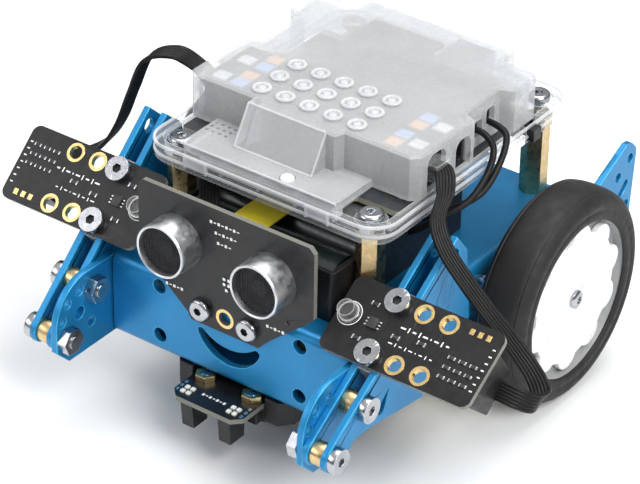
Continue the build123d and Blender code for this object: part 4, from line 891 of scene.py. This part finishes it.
def cover_edge_beads():
    piece = Piece()
    for ends in COVER_EDGES:
        piece.sweep(ends, ellipse(0.34, 0.34, 8), [(0.3, 0.5, 0.2)] * 2, steps=2)
    piece.place("cover_edge_beads", RIDGE, "frosted_plastic", 60)


tray_ridges()
tray_inner_ribs()
cover_edge_beads()

# ---------------------------------------------------------------- cables
CORES, CORE_R, CORE_PITCH = 6, 0.64, 0.9
# Each ribbon: (x, y, z) stations from its socket, then its width direction at the start,
# the middle and the end.
RIBBONS = (
    ([(37.6, -38.8, 85.2), (41.5, -39.8, 85.6), (45.8, -45.4, 83.2), (47.6, -51.0, 78.0),
      (52.0, -53.4, 72.2), (58.5, -53.6, 65.4), (66.0, -52.8, 57.6), (74.0, -51.6, 49.4),
      (80.8, -52.0, 43.2), (85.4, -55.4, 40.6), (86.6, -60.6, 41.6), (83.6, -64.8, 44.2),
      (77.6, -65.8, 45.4)],
     (0, 1, 0), (0, 1, 0.2), (0.2, 0.6, 0.7)),
    ([(-37.6, -38.8, 85.2), (-42.4, -38.8, 88.4), (-47.6, -42.6, 92.2), (-53.6, -47.0, 90.2),
      (-57.0, -49.6, 80.0), (-61.0, -50.4, 69.0), (-67.0, -50.6, 59.8), (-76.0, -51.6, 52.8),
      (-84.2, -55.0, 50.6), (-87.6, -60.0, 52.0), (-84.6, -64.0, 54.0), (-77.6, -65.0, 54.4)],
     (0, 1, 0), (0, 1, 0.2), (-0.2, 0.6, 0.7)),
    ([(-37.6, -27.4, 84.6), (-41.6, -27.6, 82.4), (-42.0, -28.6, 76.4), (-39.6, -31.5, 70.4),
      (-33.0, -42.0, 68.4), (-25.0, -55.0, 67.6), (-17.5, -65.6, 66.6), (-12.4, -71.4, 63.6),
      (-9.6, -73.4, 59.8), (-8.6, -74.8, 56.4)],
     (0, 1, 0), (0.4, 0.6, 0.2), (0.2, 1, 0)),
)
PLUGS = ((38.4, -38.8, 84.8), (-38.4, -38.8, 84.8), (-38.4, -27.4, 84.4))
BATTERY_WIRES = (
    [(32.0, -13.5, 83.2), (36.6, -13.6, 83.2), (41.2, -15.4, 80.8), (42.4, -20.0, 75.4),
     (41.8, -27.6, 70.4), (37.4, -33.6, 67.0), (33.4, -36.0, 63.2), (29.4, -37.2, 60.4)],
    [(32.0, -7.5, 83.2), (36.8, -7.7, 83.2), (41.6, -9.8, 82.2), (43.4, -15.4, 77.0),
     (43.2, -23.0, 71.6), (39.6, -29.6, 68.8), (34.0, -31.4, 65.2), (29.4, -32.2, 62.2)],
)


def ribbon_section():
    """Outline of round cores lying side by side: along the top, then back underneath."""
    points = []
    left = -(CORES - 1) * CORE_PITCH / 2
    for start, cores in ((150, range(CORES)), (-30, reversed(range(CORES)))):
        for i in cores:
            for k in range(5):
                a = math.radians(start - 30 * k)
                points.append((left + i * CORE_PITCH + CORE_R * math.cos(a),
                               CORE_R * math.sin(a)))
    return points


def blend_directions(count, first, middle, last):
    first, middle, last = Vector(first), Vector(middle), Vector(last)
    blended = []
    for i in range(count):
        u = i / (count - 1)
        blended.append(first.lerp(middle, u * 2) if u < 0.5 else middle.lerp(last, u * 2 - 1))
    return blended


def cables():
    piece = Piece()
    for stations, first, middle, last in RIBBONS:
        piece.sweep(stations, ribbon_section(),
                    blend_directions(len(stations), first, middle, last))
    piece.place("sensor_ribbons", CABLE, "cable_black", 50, replaces="sensor_cables")
    piece = Piece()
    for centre in PLUGS:
        piece.box(centre, (5.0, 6.4, 5.4), bevel=0.5, seg=3)
    piece.place("ribbon_plugs_clear", CLEAR, "clear_plastic")
    piece = Piece()
    for stations in BATTERY_WIRES:
        piece.sweep(stations, ellipse(0.95, 0.95, 14))
    piece.place("battery_wires", CABLE, "cable_black", 60, replaces="battery_lead")


cables()


# ---------------------------------------------------------------- floor, light, camera (m)
def add_floor():
    grid = bmesh.new()
    bmesh.ops.create_grid(grid, x_segments=8, y_segments=8, size=3.0)
    data = bpy.data.meshes.new("floor")
    grid.to_mesh(data)
    grid.free()
    floor = bpy.data.objects.new("floor", data)
    bpy.context.collection.objects.link(floor)
    data.materials.append(solid("pale_floor", (0.86, 0.87, 0.875), rough=0.55, tone_var=0.012,
                                tone_scale=3.0, bump=0.05, bump_scale=300))
    floor.location = (0, 0, -0.0002)    # just under the tyres


def add_world():
    """Grey bands by height, so that bright metal has something to mirror."""
    world = bpy.data.worlds.new("studio")
    bpy.context.scene.world = world
    graph = Graph(world)
    incoming = graph.add("NewGeometry").outputs["Incoming"]
    height = graph.add("SeparateXYZ", {"Vector": incoming}).outputs["Z"]
    ramp = graph.add("ValToRGB", {"Fac": graph.remap(height, 0.0, 1.0, 1.0, -1.0)})
    stops = ramp.color_ramp.elements
    stops[0].position, stops[0].color = 0.0, (0.75, 0.78, 0.82, 1)
    stops[1].position, stops[1].color = 1.0, (1.0, 1.0, 1.0, 1)
    for position, grey in ((0.47, 0.30), (0.60, 0.16), (0.72, 0.42)):
        stops.new(position).color = (grey, grey * 1.01, grey * 1.03, 1)
    graph.feed(graph.tree.nodes["Background"],
               {"Color": ramp.outputs["Color"], "Strength": 1.0})


def area(name, location, target, size, power, colour=(1, 1, 1)):
    light = bpy.data.lights.new(name, "AREA")
    light.shape = "RECTANGLE"
    light.size, light.size_y = size
    light.energy = power
    light.color = colour
    lamp = bpy.data.objects.new(name, light)
    bpy.context.collection.objects.link(lamp)
    lamp.location = location
    aim = Vector(target) - Vector(location)
    lamp.rotation_euler = aim.to_track_quat("-Z", "Y").to_euler()


def add_camera(location, azimuth, elevation, roll, lens):
    """Camera at location; angles in degrees, lens in mm."""
    az, el, ro = math.radians(azimuth), math.radians(elevation), math.radians(roll)
    level = Vector((math.cos(az), math.sin(az), 0))
    back = Vector((math.sin(az) * math.cos(el), -math.cos(az) * math.cos(el), math.sin(el)))
    upright = back.cross(level)
    right = level * math.cos(ro) + upright * math.sin(ro)
    up = -level * math.sin(ro) + upright * math.cos(ro)
    data = bpy.data.cameras.new("camera")
    data.sensor_width = 36.0
    data.sensor_fit = "HORIZONTAL"
    data.lens = lens
    data.clip_start, data.clip_end = 0.05, 20
    camera = bpy.data.objects.new("camera", data)
    bpy.context.collection.objects.link(camera)
    camera.matrix_world = Matrix((*zip(right, up, back, location), (0, 0, 0, 1)))
    bpy.context.scene.camera = camera


add_floor()
add_world()
area("key", (0.75, -0.25, 0.80), target=(0, -0.02, 0.04), size=(0.55, 0.55), power=9.5,
     colour=(1.0, 0.99, 0.97))
area("fill", (-0.75, -0.85, 0.65), target=(0, -0.02, 0.04), size=(0.9, 0.6), power=4.2,
     colour=(0.97, 0.98, 1.0))
area("top", (-0.1, 0.25, 1.1), target=(0, 0, 0.05), size=(0.8, 0.8), power=7.5)
add_camera((0.4384, -0.6408, 0.5239), azimuth=36.03, elevation=32.66, roll=0.99, lens=178.7)
bpy.context.scene.view_settings.view_transform = "Standard"
bpy.context.scene.view_settings.look = "None"
